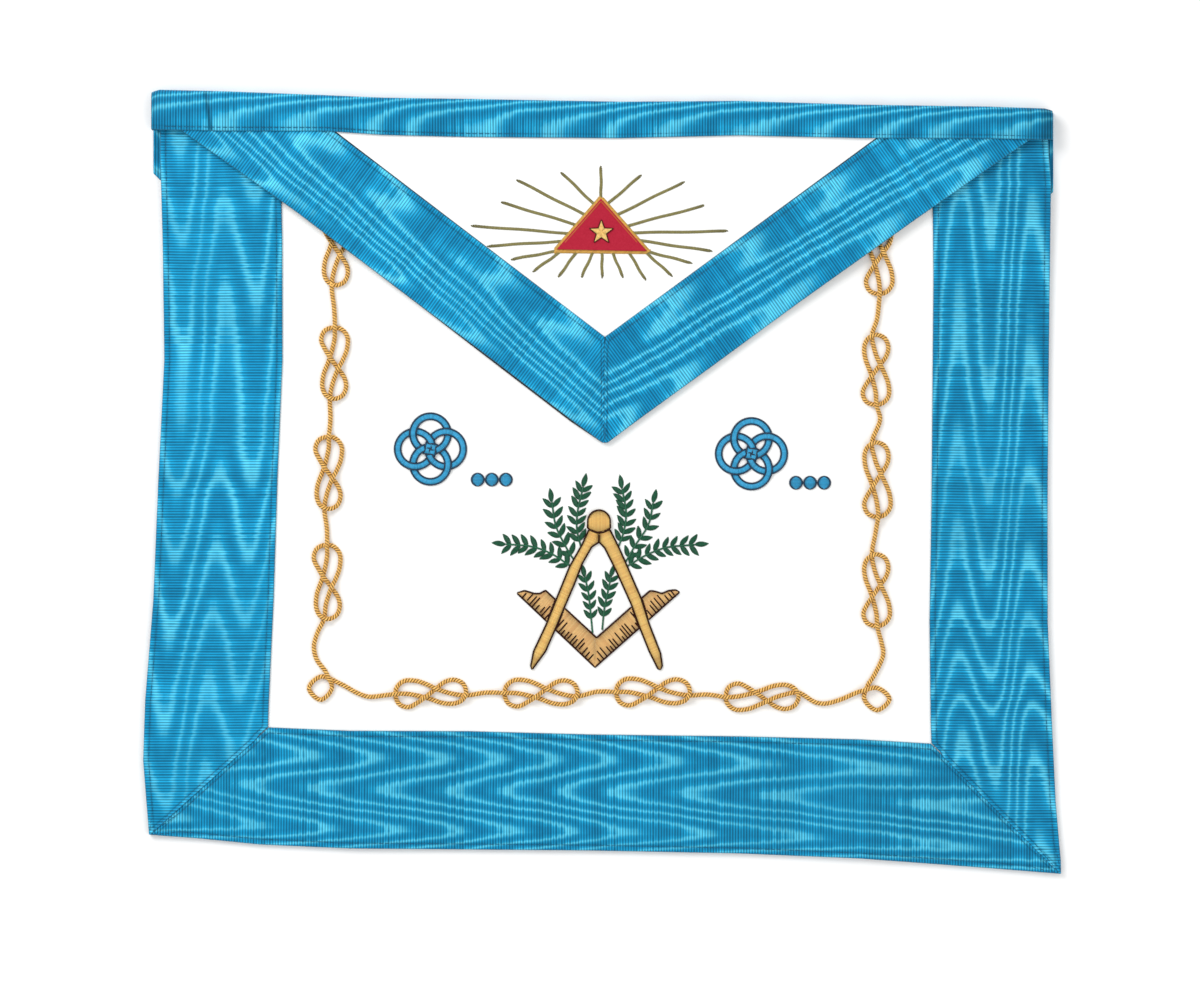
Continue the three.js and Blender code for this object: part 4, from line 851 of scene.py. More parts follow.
def top_loops(node):
    """The outlines of a CAD node's upper faces, as closed loops of x, y points."""
    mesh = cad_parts[node].data
    keys, index = {}, []
    for vertex in mesh.vertices:
        key = tuple(round(c * 1e6) for c in vertex.co)
        index.append(keys.setdefault(key, len(keys)))
    places = np.array([(x / 1e6, y / 1e6) for x, y, z in keys])
    edges = set()
    for polygon in mesh.polygons:
        if polygon.normal.z > 0.5:
            corners = [index[v] for v in polygon.vertices]
            edges.update(zip(corners, corners[1:] + corners[:1]))
    onwards = {a: b for a, b in edges if (b, a) not in edges}
    loops = []
    while onwards:
        start = min(onwards)
        loop, here = [], start
        while here in onwards:
            loop.append(here)
            here = onwards.pop(here)
        loops.append(places[loop])
    return sorted(loops, key=len, reverse=True)


def evenly(points, step, closed=False):
    """The polyline with points at even steps."""
    points = np.asarray(points, float)
    if closed:
        points = np.concatenate([points, points[:1]])
    gaps = np.linalg.norm(np.diff(points, axis=0), axis=1)
    run = np.concatenate([[0], np.cumsum(gaps)])
    count = max(2, int(round(run[-1] / step)) + 1)
    places = np.linspace(0, run[-1], count)
    made = np.stack([np.interp(places, run, points[:, k]) for k in range(points.shape[1])], -1)
    return made[:-1] if closed else made


def curved(points, step):
    """A centripetal Catmull-Rom curve through the points, with points at even steps."""
    p = np.asarray(points, float)
    p = np.concatenate([[2 * p[0] - p[1]], p, [2 * p[-1] - p[-2]]])
    knots = np.sqrt(np.linalg.norm(np.diff(p, axis=0), axis=1))
    made = []
    for k in range(1, len(p) - 2):
        t0 = 0.0
        t1 = t0 + knots[k - 1]
        t2 = t1 + knots[k]
        t3 = t2 + knots[k + 1]
        t = np.linspace(t1, t2, 16, endpoint=False)[:, None]
        a = (t1 - t) / (t1 - t0) * p[k - 1] + (t - t0) / (t1 - t0) * p[k]
        b = (t2 - t) / (t2 - t1) * p[k] + (t - t1) / (t2 - t1) * p[k + 1]
        c = (t3 - t) / (t3 - t2) * p[k + 1] + (t - t2) / (t3 - t2) * p[k + 2]
        d = (t2 - t) / (t2 - t0) * a + (t - t0) / (t2 - t0) * b
        e = (t3 - t) / (t3 - t1) * b + (t - t1) / (t3 - t1) * c
        made.append((t2 - t) / (t2 - t1) * d + (t - t1) / (t2 - t1) * e)
    return evenly(np.concatenate([*made, p[-2:-1]]), step)


def directions(points, closed=False):
    if closed:
        run = np.roll(points, -1, 0) - np.roll(points, 1, 0)
    else:
        run = np.gradient(points, axis=0)
    return run / np.maximum(np.linalg.norm(run, axis=1), 1e-12)[:, None]


def tube_parts(line, radius, sides, closed=False):
    """Points and faces of a round thread along a line of x, y, z points."""
    way = directions(line[:, :2], closed)
    side = np.column_stack([left_of(way), np.zeros(len(way))])
    angles = np.linspace(0, 2 * np.pi, sides, endpoint=False)[None, :, None]
    ring = np.cos(angles) * side[:, None, :] + np.sin(angles) * UP
    points = line[:, None, :] + radius * ring
    index = np.arange(len(line) * sides).reshape(len(line), sides)
    a = index if closed else index[:-1]
    b = np.roll(index, -1, 0) if closed else index[1:]
    faces = np.stack([b, np.roll(b, -1, 1), np.roll(a, -1, 1), a], -1).reshape(-1, 4).tolist()
    if not closed:
        faces += [index[0].tolist(), index[-1][::-1].tolist()]
    return points.reshape(-1, 3), faces


def joined(parts):
    """The points and faces of several parts as one, and the number of each point's part."""
    points, faces, numbers = [], [], []
    total = 0
    for number, (made, sides) in enumerate(parts):
        points.append(made)
        faces += [[corner + total for corner in face] for face in sides]
        numbers.append(np.full(len(made), number))
        total += len(made)
    return np.concatenate(points), faces, np.concatenate(numbers)


def make_tubes(name, lines, radius, material, closed=True):
    """One piece of several round threads, each a shade of its own."""
    points, faces, numbers = joined([tube_parts(line, radius, 6, closed) for line in lines])
    shades = {"thread": numbers * 0.37 % 1, "dim": np.ones(len(points))}
    make_piece(name, points, faces, material, values=shades)


def lifted(line, surface, lift):
    return np.column_stack([line[:, :2], surface(line[:, 0], line[:, 1]) + lift])


def stitches(name, lines, lift):
    """Topstitching along lines of x, y, z points: three quarter steps of thread, one of gap."""
    cloth = bpy.context.scene.apron_cloth
    step = cloth.stitch_length + cloth.stitch_gap
    stretch = cloth.stitch_length / (0.75 * step)
    threads = Threads(lambda x, y: 0.0, 5, small=True)
    for line in lines:
        even = evenly(line, step / 4)
        first = np.arange(2, len(even) - 5, 4)
        starts = even[first]
        ends = starts + (even[first + 3] - starts) * stretch
        threads.add(starts, ends, STITCH_WIDTH, STITCH_PAD, starts[:, 2] + lift)
    return threads.piece(name, "dyed polyester thread", "ribbon")


# Pieces


class APRON_OT_panel(bpy.types.Operator):
    """Builds the white leatherette panel of the apron"""

    bl_idname = "apron.panel"
    bl_label = "Apron panel"

    def execute(self, context):
        piece = make_cloth(
            "leatherette_panel", "apron_panel", 2.5 * MM, 96, "embossed leatherette",
            inset=1.5 * MM, roughness=0.12 * MM, seed=101, thickness=1.2 * MM,
        )
        return {"FINISHED"}


class APRON_OT_border(bpy.types.Operator):
    """Builds the three moire ribbons round the apron and their topstitching"""

    bl_idname = "apron.border"
    bl_label = "Border ribbons"

    def execute(self, context):
        panel_top = height_field("apron_panel", 1)
        panel_under = height_field("apron_panel", -1)
        lines = []
        for name, node, degrees, cut, mitre in (
            ("moire_side_left", "side_ribbon_left", -90, 0.336, "end"),
            ("moire_side_right", "side_ribbon_right", 90, 0.347, "start"),
            ("moire_bottom", "bottom_ribbon", 0, 0.414, None),
        ):
            piece, seams = make_ribbon(
                name, node, degrees, BORDER_WIDTH, MARKS[node],
                lambda x, y: panel_top.at(x, y) + 0.03 * MM,
                lambda x, y: panel_under.at(x, y) + 0.05 * MM, mitre=mitre,
            )
            lines += seams
        stitches("border_stitching", lines, 0.02 * MM)
        return {"FINISHED"}


class APRON_OT_belt(bpy.types.Operator):
    """Builds the belt behind the apron and gives its clasp a nickel finish"""

    bl_idname = "apron.belt"
    bl_label = "Belt"

    def execute(self, context):
        for side in ("left", "right"):
            node = f"belt_tail_{side}"
            under = height_field(node, -1)
            piece, _ = make_ribbon(
                f"belt_ribbon_{side}", node, 0, BELT_WIDTH, MARKS["belt"],
                lambda x, y, under=under: under.at(x, y) + 0.02 * MM, inner_count=6,
            )
        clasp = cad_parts["belt_clasp"]
        clasp.data.materials.clear()
        clasp.data.materials.append(finish("brushed nickel plate"))
        return {"FINISHED"}


# The waistband: height of its back, wall, round of its fold, how flat its ends are pressed
BAND_BACK, BAND_WALL = 1.3 * MM, 0.9 * MM
BAND_FOLD, BAND_END = 3.5 * MM, 0.62
BAND_SEAM, BAND_SEAM_WIDTH, BAND_SEAM_DEPTH = 1.6 * MM, 0.45 * MM, 0.2 * MM
BAND_EDGE_ROUND, BAND_EDGE_FALL = 0.7 * MM, 0.35 * MM
# Where its rows of points lie up each face, and round the fold in degrees
BAND_ROWS, BAND_TURNS = [0, 0.35, 1, 1.6, 2.2, 4, 7, 10, 12.5], [60, 30, 0, -30, -60]
BAND_FLOOR = 1.05 * MM
# The crease near its left end: where along the apron, its slant, width and depth
CREASE_PLACE, CREASE_SLANT, CREASE_WIDTH, CREASE_DEPTH = -0.177, 0.16, 0.9 * MM, 0.5 * MM
# How much darker the band is drawn at its ends and towards the right, and the painted shade in its
# crease and its seam
END_SHADE, RIGHT_SHADE, CREASE_SHADE, SEAM_SHADE = 0.35, 0.22, 0.55, 0.25


class APRON_OT_waistband(bpy.types.Operator):
    """Builds the ribbon folded over the top edge as the waistband"""

    bl_idname = "apron.waistband"
    bl_label = "Waistband"

    def execute(self, context):
        cloth = context.scene.apron_cloth
        marks = MARKS["waistband"]
        layout = Layout(outline_of("waistband"), 0, cloth.rib_pitch / 3, [0, 1 * MM], 1)
        x, low, high = layout.stations, layout.low, layout.high
        end = np.minimum(x - x[0], x[-1] - x)
        front = self.front(x, high)
        back = BAND_BACK * np.ones_like(front)
        middle = (front + back) / 2
        half = (front - back) / 2 * (BAND_END + (1 - BAND_END) * rounded(end, BAND_FOLD))

        outer_y, outer_z, facing = self.section(low, high, middle, half, 0)
        inner_y, inner_z, _ = self.section(low, high, middle, half, BAND_WALL)
        station = np.repeat(x[:, None], outer_y.shape[1], 1)
        ribs = station + noise_field(20 * MM, 66).at(station, outer_y) * 0.3 * MM
        wave = cloth.rib_height * np.cos(2 * np.pi * ribs / cloth.rib_pitch)
        bulge = noise_field(17 * MM, 67).at(station, outer_y) * 0.3 * MM
        from_edge = np.clip(outer_y - low[:, None], 0, 1)
        from_crease = station - CREASE_PLACE + CREASE_SLANT * from_edge
        crease = np.exp(-((from_crease / CREASE_WIDTH) ** 2)) * (facing > 0)
        seam = np.exp(-(((from_edge - BAND_SEAM) / BAND_SEAM_WIDTH) ** 2))
        edge = 1 - rounded(from_edge, BAND_EDGE_ROUND)
        outer_z = outer_z + facing * (
            wave + bulge - CREASE_DEPTH * crease - BAND_SEAM_DEPTH * seam - BAND_EDGE_FALL * edge
        )
        outer_z = np.maximum(outer_z, BAND_FLOOR)
        share = (outer_y - low[:, None]) / (high - low)[:, None]
        share = np.where(facing >= 0, share, 2 - share)
        waves = waves_at(station, share, marks, station, outer_y)
        ends = 1 - END_SHADE * np.exp(-((end / (5 * MM)) ** 2))[:, None]
        right = 1 - RIGHT_SHADE * np.clip((station - 0.175) / 0.03, 0, 1)
        # Painted shade in the crease and the seam; the band is also drawn darker at its ends and
        # towards the right
        dim = marks["dim"] * ends * right * (1 - CREASE_SHADE * crease) * (1 - SEAM_SHADE * seam)
        points = np.concatenate([
            np.stack([station, outer_y, outer_z], -1),
            np.stack([station, inner_y, inner_z], -1)[:, ::-1],
        ], 1)
        index = np.arange(points[..., 0].size).reshape(points.shape[:2])
        a, b = index[:-1], index[1:]
        faces = np.stack([a, b, np.roll(b, -1, 1), np.roll(a, -1, 1)], -1).reshape(-1, 4)
        faces = faces.tolist() + [index[0].tolist(), index[-1][::-1].tolist()]
        blur = blur_of(waves, outer_y, station, outer_y, marks)
        # The band's inside is painted in shade, at 0.7 of its brightness
        values = {
            "moire": (waves, 0.4), "along": (ribs, ribs), "dim": (dim, 0.7),
            "rim": (from_edge, 5 * MM), "blur": (blur, 0),
        }
        piece = make_piece(
            "moire_waistband", points, faces, "acetate moire grosgrain", ["waistband"],
            {
                key: np.concatenate([outside, inside * np.ones_like(outside)], 1)
                for key, (outside, inside) in values.items()
            },
        )
        line = np.stack([x, low + BAND_SEAM, middle + half - 0.15 * MM], -1)
        stitches("waistband_stitching", [line[12:-12]], 0.05 * MM)
        return {"FINISHED"}

    def front(self, x, high):
        """The height of the band's front along it, from the CAD band, made smooth."""
        tree = node_tree_of("waistband")
        front = np.array([
            tree.ray_cast(Vector((px, py - 9 * MM, 1)), Vector((0, 0, -1)))[0].z
            for px, py in zip(np.clip(x, x[0] + 4 * MM, x[-1] - 4 * MM), high)
        ])
        width = int(12 * MM / (x[1] - x[0]))
        front = np.convolve(np.pad(front, width, mode="edge"), np.ones(width) / width, "same")
        return front[width:-width]

    def section(self, low, high, middle, half, inset):
        """Each row's y and z round the folded band, and how far it faces up."""
        heights = np.array(BAND_ROWS)
        flats = heights / heights[-1] * (high - BAND_FOLD - low)[:, None]
        turns = np.radians(BAND_TURNS)
        face_y = low[:, None] + flats
        arc_y = (high - BAND_FOLD)[:, None] + (BAND_FOLD - inset) * np.cos(turns)
        facing = np.concatenate([np.ones(len(heights)), np.sin(turns), -np.ones(len(heights))])
        facing = np.broadcast_to(facing, (len(low), len(facing)))
        y = np.concatenate([face_y, arc_y, face_y[:, ::-1]], 1)
        return y, middle[:, None] + facing * (half - inset)[:, None], facing


class APRON_OT_flap(bpy.types.Operator):
    """Builds the pointed flap: black lining, white panel and two mitred ribbons"""

    bl_idname = "apron.flap"
    bl_label = "Flap"

    def execute(self, context):
        lining_top = height_field("flap_lining", 1)
        lining_under = height_field("flap_lining", -1)
        lining = make_cloth(
            "cotton_lining", "flap_lining", 2 * MM, 90, "cotton lining", seed=111
        )
        panel = make_cloth(
            "leatherette_flap", "flap_panel", 1.5 * MM, 90, "embossed leatherette",
            inset=-0.8 * MM, roughness=0.1 * MM, seed=121,
        )
        lines = []
        for name, node, degrees, mitre in (
            ("moire_flap_left", "flap_ribbon_left", FLAP_SLOPE_LEFT, None),
            ("moire_flap_right", "flap_ribbon_right", FLAP_SLOPE_RIGHT, "start"),
        ):
            piece, seams = make_ribbon(
                name, node, degrees, FLAP_RIBBON_WIDTH, MARKS[node],
                lambda x, y: lining_top.at(x, y) + 0.03 * MM,
                lambda x, y: lining_under.at(x, y) + 0.25 * MM, 18, (0, 1), mitre,
            )
            lines += seams
        stitches("flap_stitching", lines, 0.02 * MM)
        return {"FINISHED"}


# The cord's route in shares of the apron's width and height: down the left, along
# the bottom and up the right; a row of five runs a knot from its first point to
# its second, on the side that the last number gives
KNOT = [
    (0, 0), (0.15, 0), (0.32, -0.08), (0.48, -0.2), (0.67, -0.37), (0.84, -0.39),
    (0.95, -0.25), (1, 0.05), (0.95, 0.38), (0.82, 0.51), (0.69, 0.42), (0.58, 0.2),
    (0.46, -0.05), (0.32, -0.32), (0.18, -0.5), (0.05, -0.38), (0, -0.06), (0.02, 0.25),
    (0.12, 0.48), (0.3, 0.48), (0.46, 0.33), (0.63, 0.12), (0.8, -0.02), (1, -0.09),
]
KNOT_WIDTH = 12 * MM
CORD_STEP = 0.48 * MM
STRANDS, STRAND_SIDES = 3, 5
# Places and sizes in shares of the cord's width: its strands' centres, their radius, a hump's rise
STRAND_OFFSET, STRAND_RADIUS, HUMP_RISE = 0.29, 0.21, 0.92
HUMP_REACH = 4.6 * MM
# The flap's point; under the flap the cord is pressed to this share of its height
FLAP_TIP = (1.4 * MM, 20 * MM)
PRESSED = 0.62
ROUTE = [
    (-0.289, 0.343, -0.292, 0.251, 1), (-0.292, 0.222), (-0.291, 0.197, -0.294, 0.106, 1),
    (-0.296, 0.082), (-0.2975, 0.0575, -0.3, -0.0345, 1), (-0.3, -0.058),
    (-0.2995, -0.0805, -0.3005, -0.175, 1), (-0.310, -0.192), (-0.314, -0.210),
    (-0.311, -0.2265), (-0.3005, -0.2435), (-0.2945, -0.2635), (-0.3067, -0.278),
    (-0.3193, -0.2634), (-0.3067, -0.2487), (-0.284, -0.2583), (-0.267, -0.2693),
    (-0.254, -0.2743), (-0.240, -0.273), (-0.225, -0.2707, -0.148, -0.2694, 1),
    (-0.126, -0.269), (-0.106, -0.2694, -0.0266, -0.2707, 1), (-0.006, -0.268),
    (0.0156, -0.268, 0.0958, -0.2694, 1), (0.115, -0.2715), (0.1348, -0.2745, 0.214, -0.272, -1),
    (0.2318, -0.281), (0.243, -0.283), (0.2585, -0.2785), (0.283, -0.2667), (0.3005, -0.2632),
    (0.3133, -0.2772), (0.2997, -0.2912), (0.286, -0.2772), (0.2895, -0.2602),
    (0.2965, -0.2472), (0.3065, -0.2203), (0.3045, -0.2043), (0.2998, -0.1838, 0.2968, -0.0925, -1),
    (0.298, -0.066), (0.3008, -0.0445, 0.2968, 0.0503, -1), (0.3032, 0.0806),
    (0.2988, 0.0986, 0.297, 0.1876, -1), (0.2997, 0.2078), (0.3024, 0.24, 0.300, 0.332, -1),
]


def cord_points():
    """The points of the route, with those of its knots."""
    size = np.array([APRON_WIDTH, APRON_HEIGHT])
    points = []
    for row in ROUTE:
        start = row[:2] * size
        if len(row) == 2:
            points.append(start)
            continue
        end = row[2:4] * size
        left = left_of(way_between(start, end)[0])
        for along, across in KNOT:
            points.append(start + (end - start) * along + left * row[4] * across * KNOT_WIDTH)
    return points


def passes_over(line, step):
    """Where the cord passes over itself: every second visit to a crossing."""
    a, b = line[:-1], line[1:]
    visits = []
    for i in range(len(a) - 2):
        c, d = a[i + 2 :], b[i + 2 :]
        r, s, gap = b[i] - a[i], d - c, c - a[i]
        cross = r[0] * s[:, 1] - r[1] * s[:, 0]
        cross = np.where(np.abs(cross) < 1e-18, 1e-18, cross)
        t = (gap[:, 0] * s[:, 1] - gap[:, 1] * s[:, 0]) / cross
        u = (gap[:, 0] * r[1] - gap[:, 1] * r[0]) / cross
        for k in np.nonzero((t >= 0) & (t < 1) & (u >= 0) & (u < 1))[0]:
            visits += [(i + t[k]) * step, (i + 2 + k + u[k]) * step]
    return sorted(visits)[::2]


class APRON_OT_cord(bpy.types.Operator):
    """Builds the gold cord of three twisted strands, laid in loose knots"""

    bl_idname = "apron.cord"
    bl_label = "Knotted cord"

    def execute(self, context):
        threads = context.scene.apron_threads
        width = threads.cord_width
        line = curved(cord_points(), CORD_STEP)
        step = float(np.linalg.norm(np.diff(line, axis=0), axis=1).mean())
        place = np.arange(len(line)) * step
        slopes = np.tan(np.radians([-FLAP_SLOPE_LEFT, FLAP_SLOPE_RIGHT]))
        slope = np.where(line[:, 0] < 0, *slopes)
        edge = FLAP_TIP[1] + np.abs(line[:, 0] - FLAP_TIP[0]) * slope
        free = np.clip((edge - line[:, 1]) / (4 * MM) - 0.2, 0, 1)
        lift = np.zeros(len(line))
        for visit in passes_over(line, step):
            hump = np.clip(1 - np.abs(place - visit) / HUMP_REACH, 0, 1)
            lift = np.maximum(lift, np.sin(hump * np.pi / 2) ** 2)
        tall = PRESSED + (1 - PRESSED) * free
        rise = width * (0.5 + HUMP_RISE * lift * free) * tall
        centre = lifted(line, height_field("apron_panel", 1).at, rise)
        side = np.column_stack([left_of(directions(line)), np.zeros(len(line))])
        parts, dims = [], []
        for strand in range(STRANDS):
            turn = (2 * np.pi * (strand / STRANDS - place / threads.cord_lay))[:, None]
            around = np.cos(turn) * side + np.sin(turn) * tall[:, None] * UP
            strand_line = centre + STRAND_OFFSET * width * around
            made = tube_parts(strand_line, STRAND_RADIUS * width, STRAND_SIDES)
            # Each strand is painted in shade on its inner side, in the grooves between the strands,
            # and lighter outwards
            run = made[0] - np.repeat(centre, STRAND_SIDES, 0)
            out = np.linalg.norm(run, axis=1) / (0.5 * width)
            parts.append(made)
            dims.append(0.06 + 1.04 * np.clip((out - 0.68) / 0.28, 0, 1) ** 1.4)
        points, faces, numbers = joined(parts)
        make_piece(
            "twisted_cord", points, faces, "twisted gilt cord", ["knotted_cord"],
            {"thread": numbers * 0.35, "dim": np.concatenate(dims)},
        )
        return {"FINISHED"}


# The compasses: which way the threads of each leg run, and how its tip is shaded
LEG_SIDES = ((-1, 64), (1, -66))
TIP_LENGTH, TIP_LIGHT = 7 * MM, 0.55
# Padding added below the legs and the head, and how high each outline lies on the panel
LEG_PAD, LEG_LIFT, HEAD_PAD, HEAD_LIFT = 0.35 * MM, 0.15 * MM, 0.5 * MM, 0.35 * MM
LEG_OUTLINE, HEAD_OUTLINE, SEAM_OUTLINE, SQUARE_OUTLINE = 0.75 * MM, 1.45 * MM, 1.6 * MM, 0.55 * MM
# The brown stitches on the square; their lengths and distances are drawn between two values
TICK_WIDTH, TICK_PAD, TICK_LENGTHS, TICK_STEPS = 0.66 * MM, 0.3 * MM, (2.4, 6.6), (1.4, 2.4)
TICK_STARTS = [0.0, 0.0, 0.0, 0.2]


class APRON_OT_emblem(bpy.types.Operator):
    """Builds the compasses and the square in padded gold satin stitch with brown outlines"""

    bl_idname = "apron.emblem"
    bl_label = "Square and compasses"

    def execute(self, context):
        threads = context.scene.apron_threads
        pitch, pad, radius = threads.thread_pitch, threads.padding, threads.outline_width / 2
        panel = height_field("apron_panel", 1).at
        legs, head = top_loops("compasses")[:2]
        apex = head.mean(0)
        head = self.dome(head)

        work = Threads(panel, 201)
        for side, degrees in LEG_SIDES:
            starts, ends = trimmed(*spans_of(legs, degrees, pitch), (-side, 0), -side * apex[0])
            above_tip = (starts[:, 1] - legs[:, 1].min()) / TIP_LENGTH
            dim = TIP_LIGHT + (1 - TIP_LIGHT) * np.clip(above_tip, 0, 1)
            work.add(starts, ends, pitch * COVER, pad + LEG_PAD, LEG_LIFT, dim)
        work.add(*spans_of(head, 0, pitch), pitch * COVER, pad + HEAD_PAD, HEAD_LIFT)
        work.piece("compasses_gold", "gold rayon thread", "gold", ["compasses"])
        outlines = [(legs, LEG_OUTLINE), (head, HEAD_OUTLINE)]

        ticks = []
        for node, halves in (
            ("square_corner", ((-1, -42), (1, 40))),
            ("square_end_left", ((0, -42),)),
            ("square_end_right", ((0, 40),)),
        ):
            loop = top_loops(node)[0]
            split = loop[np.argmin(loop[:, 1])][0]
            work = Threads(panel, 211)
            for side, degrees in halves:
                starts, ends = spans_of(loop, degrees, pitch)
                if side:
                    starts, ends = trimmed(starts, ends, (-side, 0), 0.2 * MM - side * split)
                work.add(starts, ends, pitch * COVER, pad, 0.0, 0.9)
                ticks.append((starts, ends))
            work.piece(f"{node}_gold", "tan rayon thread", "gold", [node])
            outlines.append((loop, SQUARE_OUTLINE))

        lines = [lifted(evenly(loop, 0.8 * MM, True), panel, lift) for loop, lift in outlines]
        make_tubes("emblem_outline", lines, radius, "brown rayon thread")
        seam = apex - np.array([(0, 6 * MM), (0, 9.3 * MM)])
        lines = [lifted(evenly(seam, 0.8 * MM), panel, SEAM_OUTLINE)]
        make_tubes("emblem_seam", lines, radius, "brown rayon thread", closed=False)
        self.add_ticks(ticks, panel, pad, pitch)
        return {"FINISHED"}

    def dome(self, head):
        """The head's outline: round above, and closed below by an arc across the legs."""
        centre = head.mean(0)
        radius = np.linalg.norm(head - centre, axis=1).mean() * 1.04
        angles = np.linspace(-0.1, np.pi + 0.1, 20)
        upper = np.column_stack([np.cos(angles), np.sin(angles)])
        x = np.linspace(-1.02, 1.02, 12)
        lower = np.column_stack([x, -1.02 + 0.42 * x**2])
        return centre + radius * np.concatenate([upper, lower])

    def add_ticks(self, spans, panel, pad, pitch):
        """Short brown stitches from the square's outer edge inwards."""
        random = np.random.default_rng(221)
        work = Threads(panel, 222)
        for starts, ends in spans:
            place = 1.0 * MM
            while place < len(starts) * pitch - 1.2 * MM:
                outer, inner = sorted((starts[int(place / pitch)], ends[int(place / pitch)]),
                                      key=lambda point: point[1])
                way, wide = way_between(outer, inner)
                reach = min(wide * 0.75, random.uniform(*TICK_LENGTHS) * MM)
                begin = random.choice(TICK_STARTS) * reach
                if wide > 3 * MM:
                    work.add(outer + way * begin, outer + way * (begin + reach),
                             TICK_WIDTH, TICK_PAD, pad)
                place += random.uniform(*TICK_STEPS) * MM
        work.piece("square_ticks", "brown rayon thread", "gold")


# Leaf sprigs in emblem heights right of and below the emblem's place: stem from its
# foot outwards, pairs of leaves, where they start, their size and their angle
SPRIGS = {
    "sprig_left_low":
        ([(-0.17, 0.35), (-0.285, 0.275), (-0.405, 0.23), (-0.575, 0.213)], 8, 0.05, 1, 48),
    "sprig_left_middle":
        ([(-0.15, 0.31), (-0.195, 0.235), (-0.26, 0.1), (-0.285, -0.05)], 6, 0.1, 1, 44),
    "sprig_left_high":
        ([(-0.105, 0.225), (-0.128, 0.125), (-0.125, 0.015), (-0.09, -0.145)], 7, 0.1, 1, 44),
    "sprig_right_high":
        ([(0.135, 0.225), (0.168, 0.125), (0.18, 0.015), (0.155, -0.135)], 7, 0.1, 1, 44),
    "sprig_right_middle":
        ([(0.175, 0.33), (0.235, 0.225), (0.32, 0.09), (0.35, -0.045)], 6, 0.1, 1, 44),
    "sprig_right_low":
        ([(0.19, 0.35), (0.3, 0.285), (0.43, 0.235), (0.61, 0.217)], 8, 0.05, 1, 48),
    "sprig_inner_left":
        ([(-0.03, 0.77), (-0.045, 0.62), (-0.056, 0.52), (-0.078, 0.42)], 5, 0.27, 0.9, 38),
    "sprig_inner_right":
        ([(0.03, 0.75), (0.045, 0.61), (0.066, 0.51), (0.085, 0.42)], 5, 0.27, 0.9, 38),
}
EMBLEM_HEIGHT = 72.5 * MM
EMBLEM_PLACE = (-0.005 * APRON_WIDTH, -0.036 * APRON_HEIGHT)
LEAF_LENGTH = 0.085 * EMBLEM_HEIGHT
LEAF_WIDTH = 0.034 * EMBLEM_HEIGHT
LEAF_SPREAD = (0.92, 1.08)


class APRON_OT_sprigs(bpy.types.Operator):
    """Builds the leaf sprigs in green satin stitch on thin stems"""

    bl_idname = "apron.sprigs"
    bl_label = "Leaf sprigs"

    def execute(self, context):
        panel = height_field("apron_panel", 1).at
        random = np.random.default_rng(231)
        stems = []
        for name, (stem, pairs, first, size, degrees) in SPRIGS.items():
            line = curved(EMBLEM_PLACE + np.array(stem) * (EMBLEM_HEIGHT, -EMBLEM_HEIGHT), 0.6 * MM)
            stems.append(lifted(line, panel, 0.25 * MM))
            way = directions(line)
            work = Threads(panel, 240 + len(stems), small=True)
            last = len(line) - 1
            for k in range(pairs):
                spot = int((first + (1 - first) * k / (pairs - 0.5)) * last)
                for side in (-1, 1):
                    turn = side * math.radians(degrees) * random.uniform(*LEAF_SPREAD)
                    self.add_leaf(work, line[spot], way[spot], turn,
                                  size * random.uniform(*LEAF_SPREAD))
            self.add_leaf(work, line[-1], way[-1], 0.0, size * 1.05)
            work.piece(f"{name}_leaves", "green rayon thread", "leaf", [name])
        make_tubes("sprig_stems", stems, 0.42 * MM, "green rayon thread", closed=False)
        return {"FINISHED"}

    def add_leaf(self, work, root, way, turn, size):
        """A pointed leaf of slanting threads, turned away from its stem."""
        axis = way * math.cos(turn) + left_of(way) * math.sin(turn)
        length, half = LEAF_LENGTH * size, LEAF_WIDTH * size / 2
        pitch = bpy.context.scene.apron_threads.thread_pitch
        t = np.arange(0.05, 0.99, 0.8 * pitch / length)
        wide = half * np.sin(np.pi * t**0.85) ** 0.8
        middle = root + axis * (t * length)[:, None]
        work.add_across(middle, axis, -wide, -0.3, pitch * 0.95, 0.5 * MM)


# A ring of the quatrefoils: its radius in shares of half their width, and where it
# rises over its neighbours, in degrees from its own lobe, how far round and how high
RING_RADIUS = 0.58
WEAVE_ANGLES, WEAVE_REACH, WEAVE_RISE = (83, 173, 209.6), 21, 0.95 * MM
EDGE_INSET = 0.2 * MM


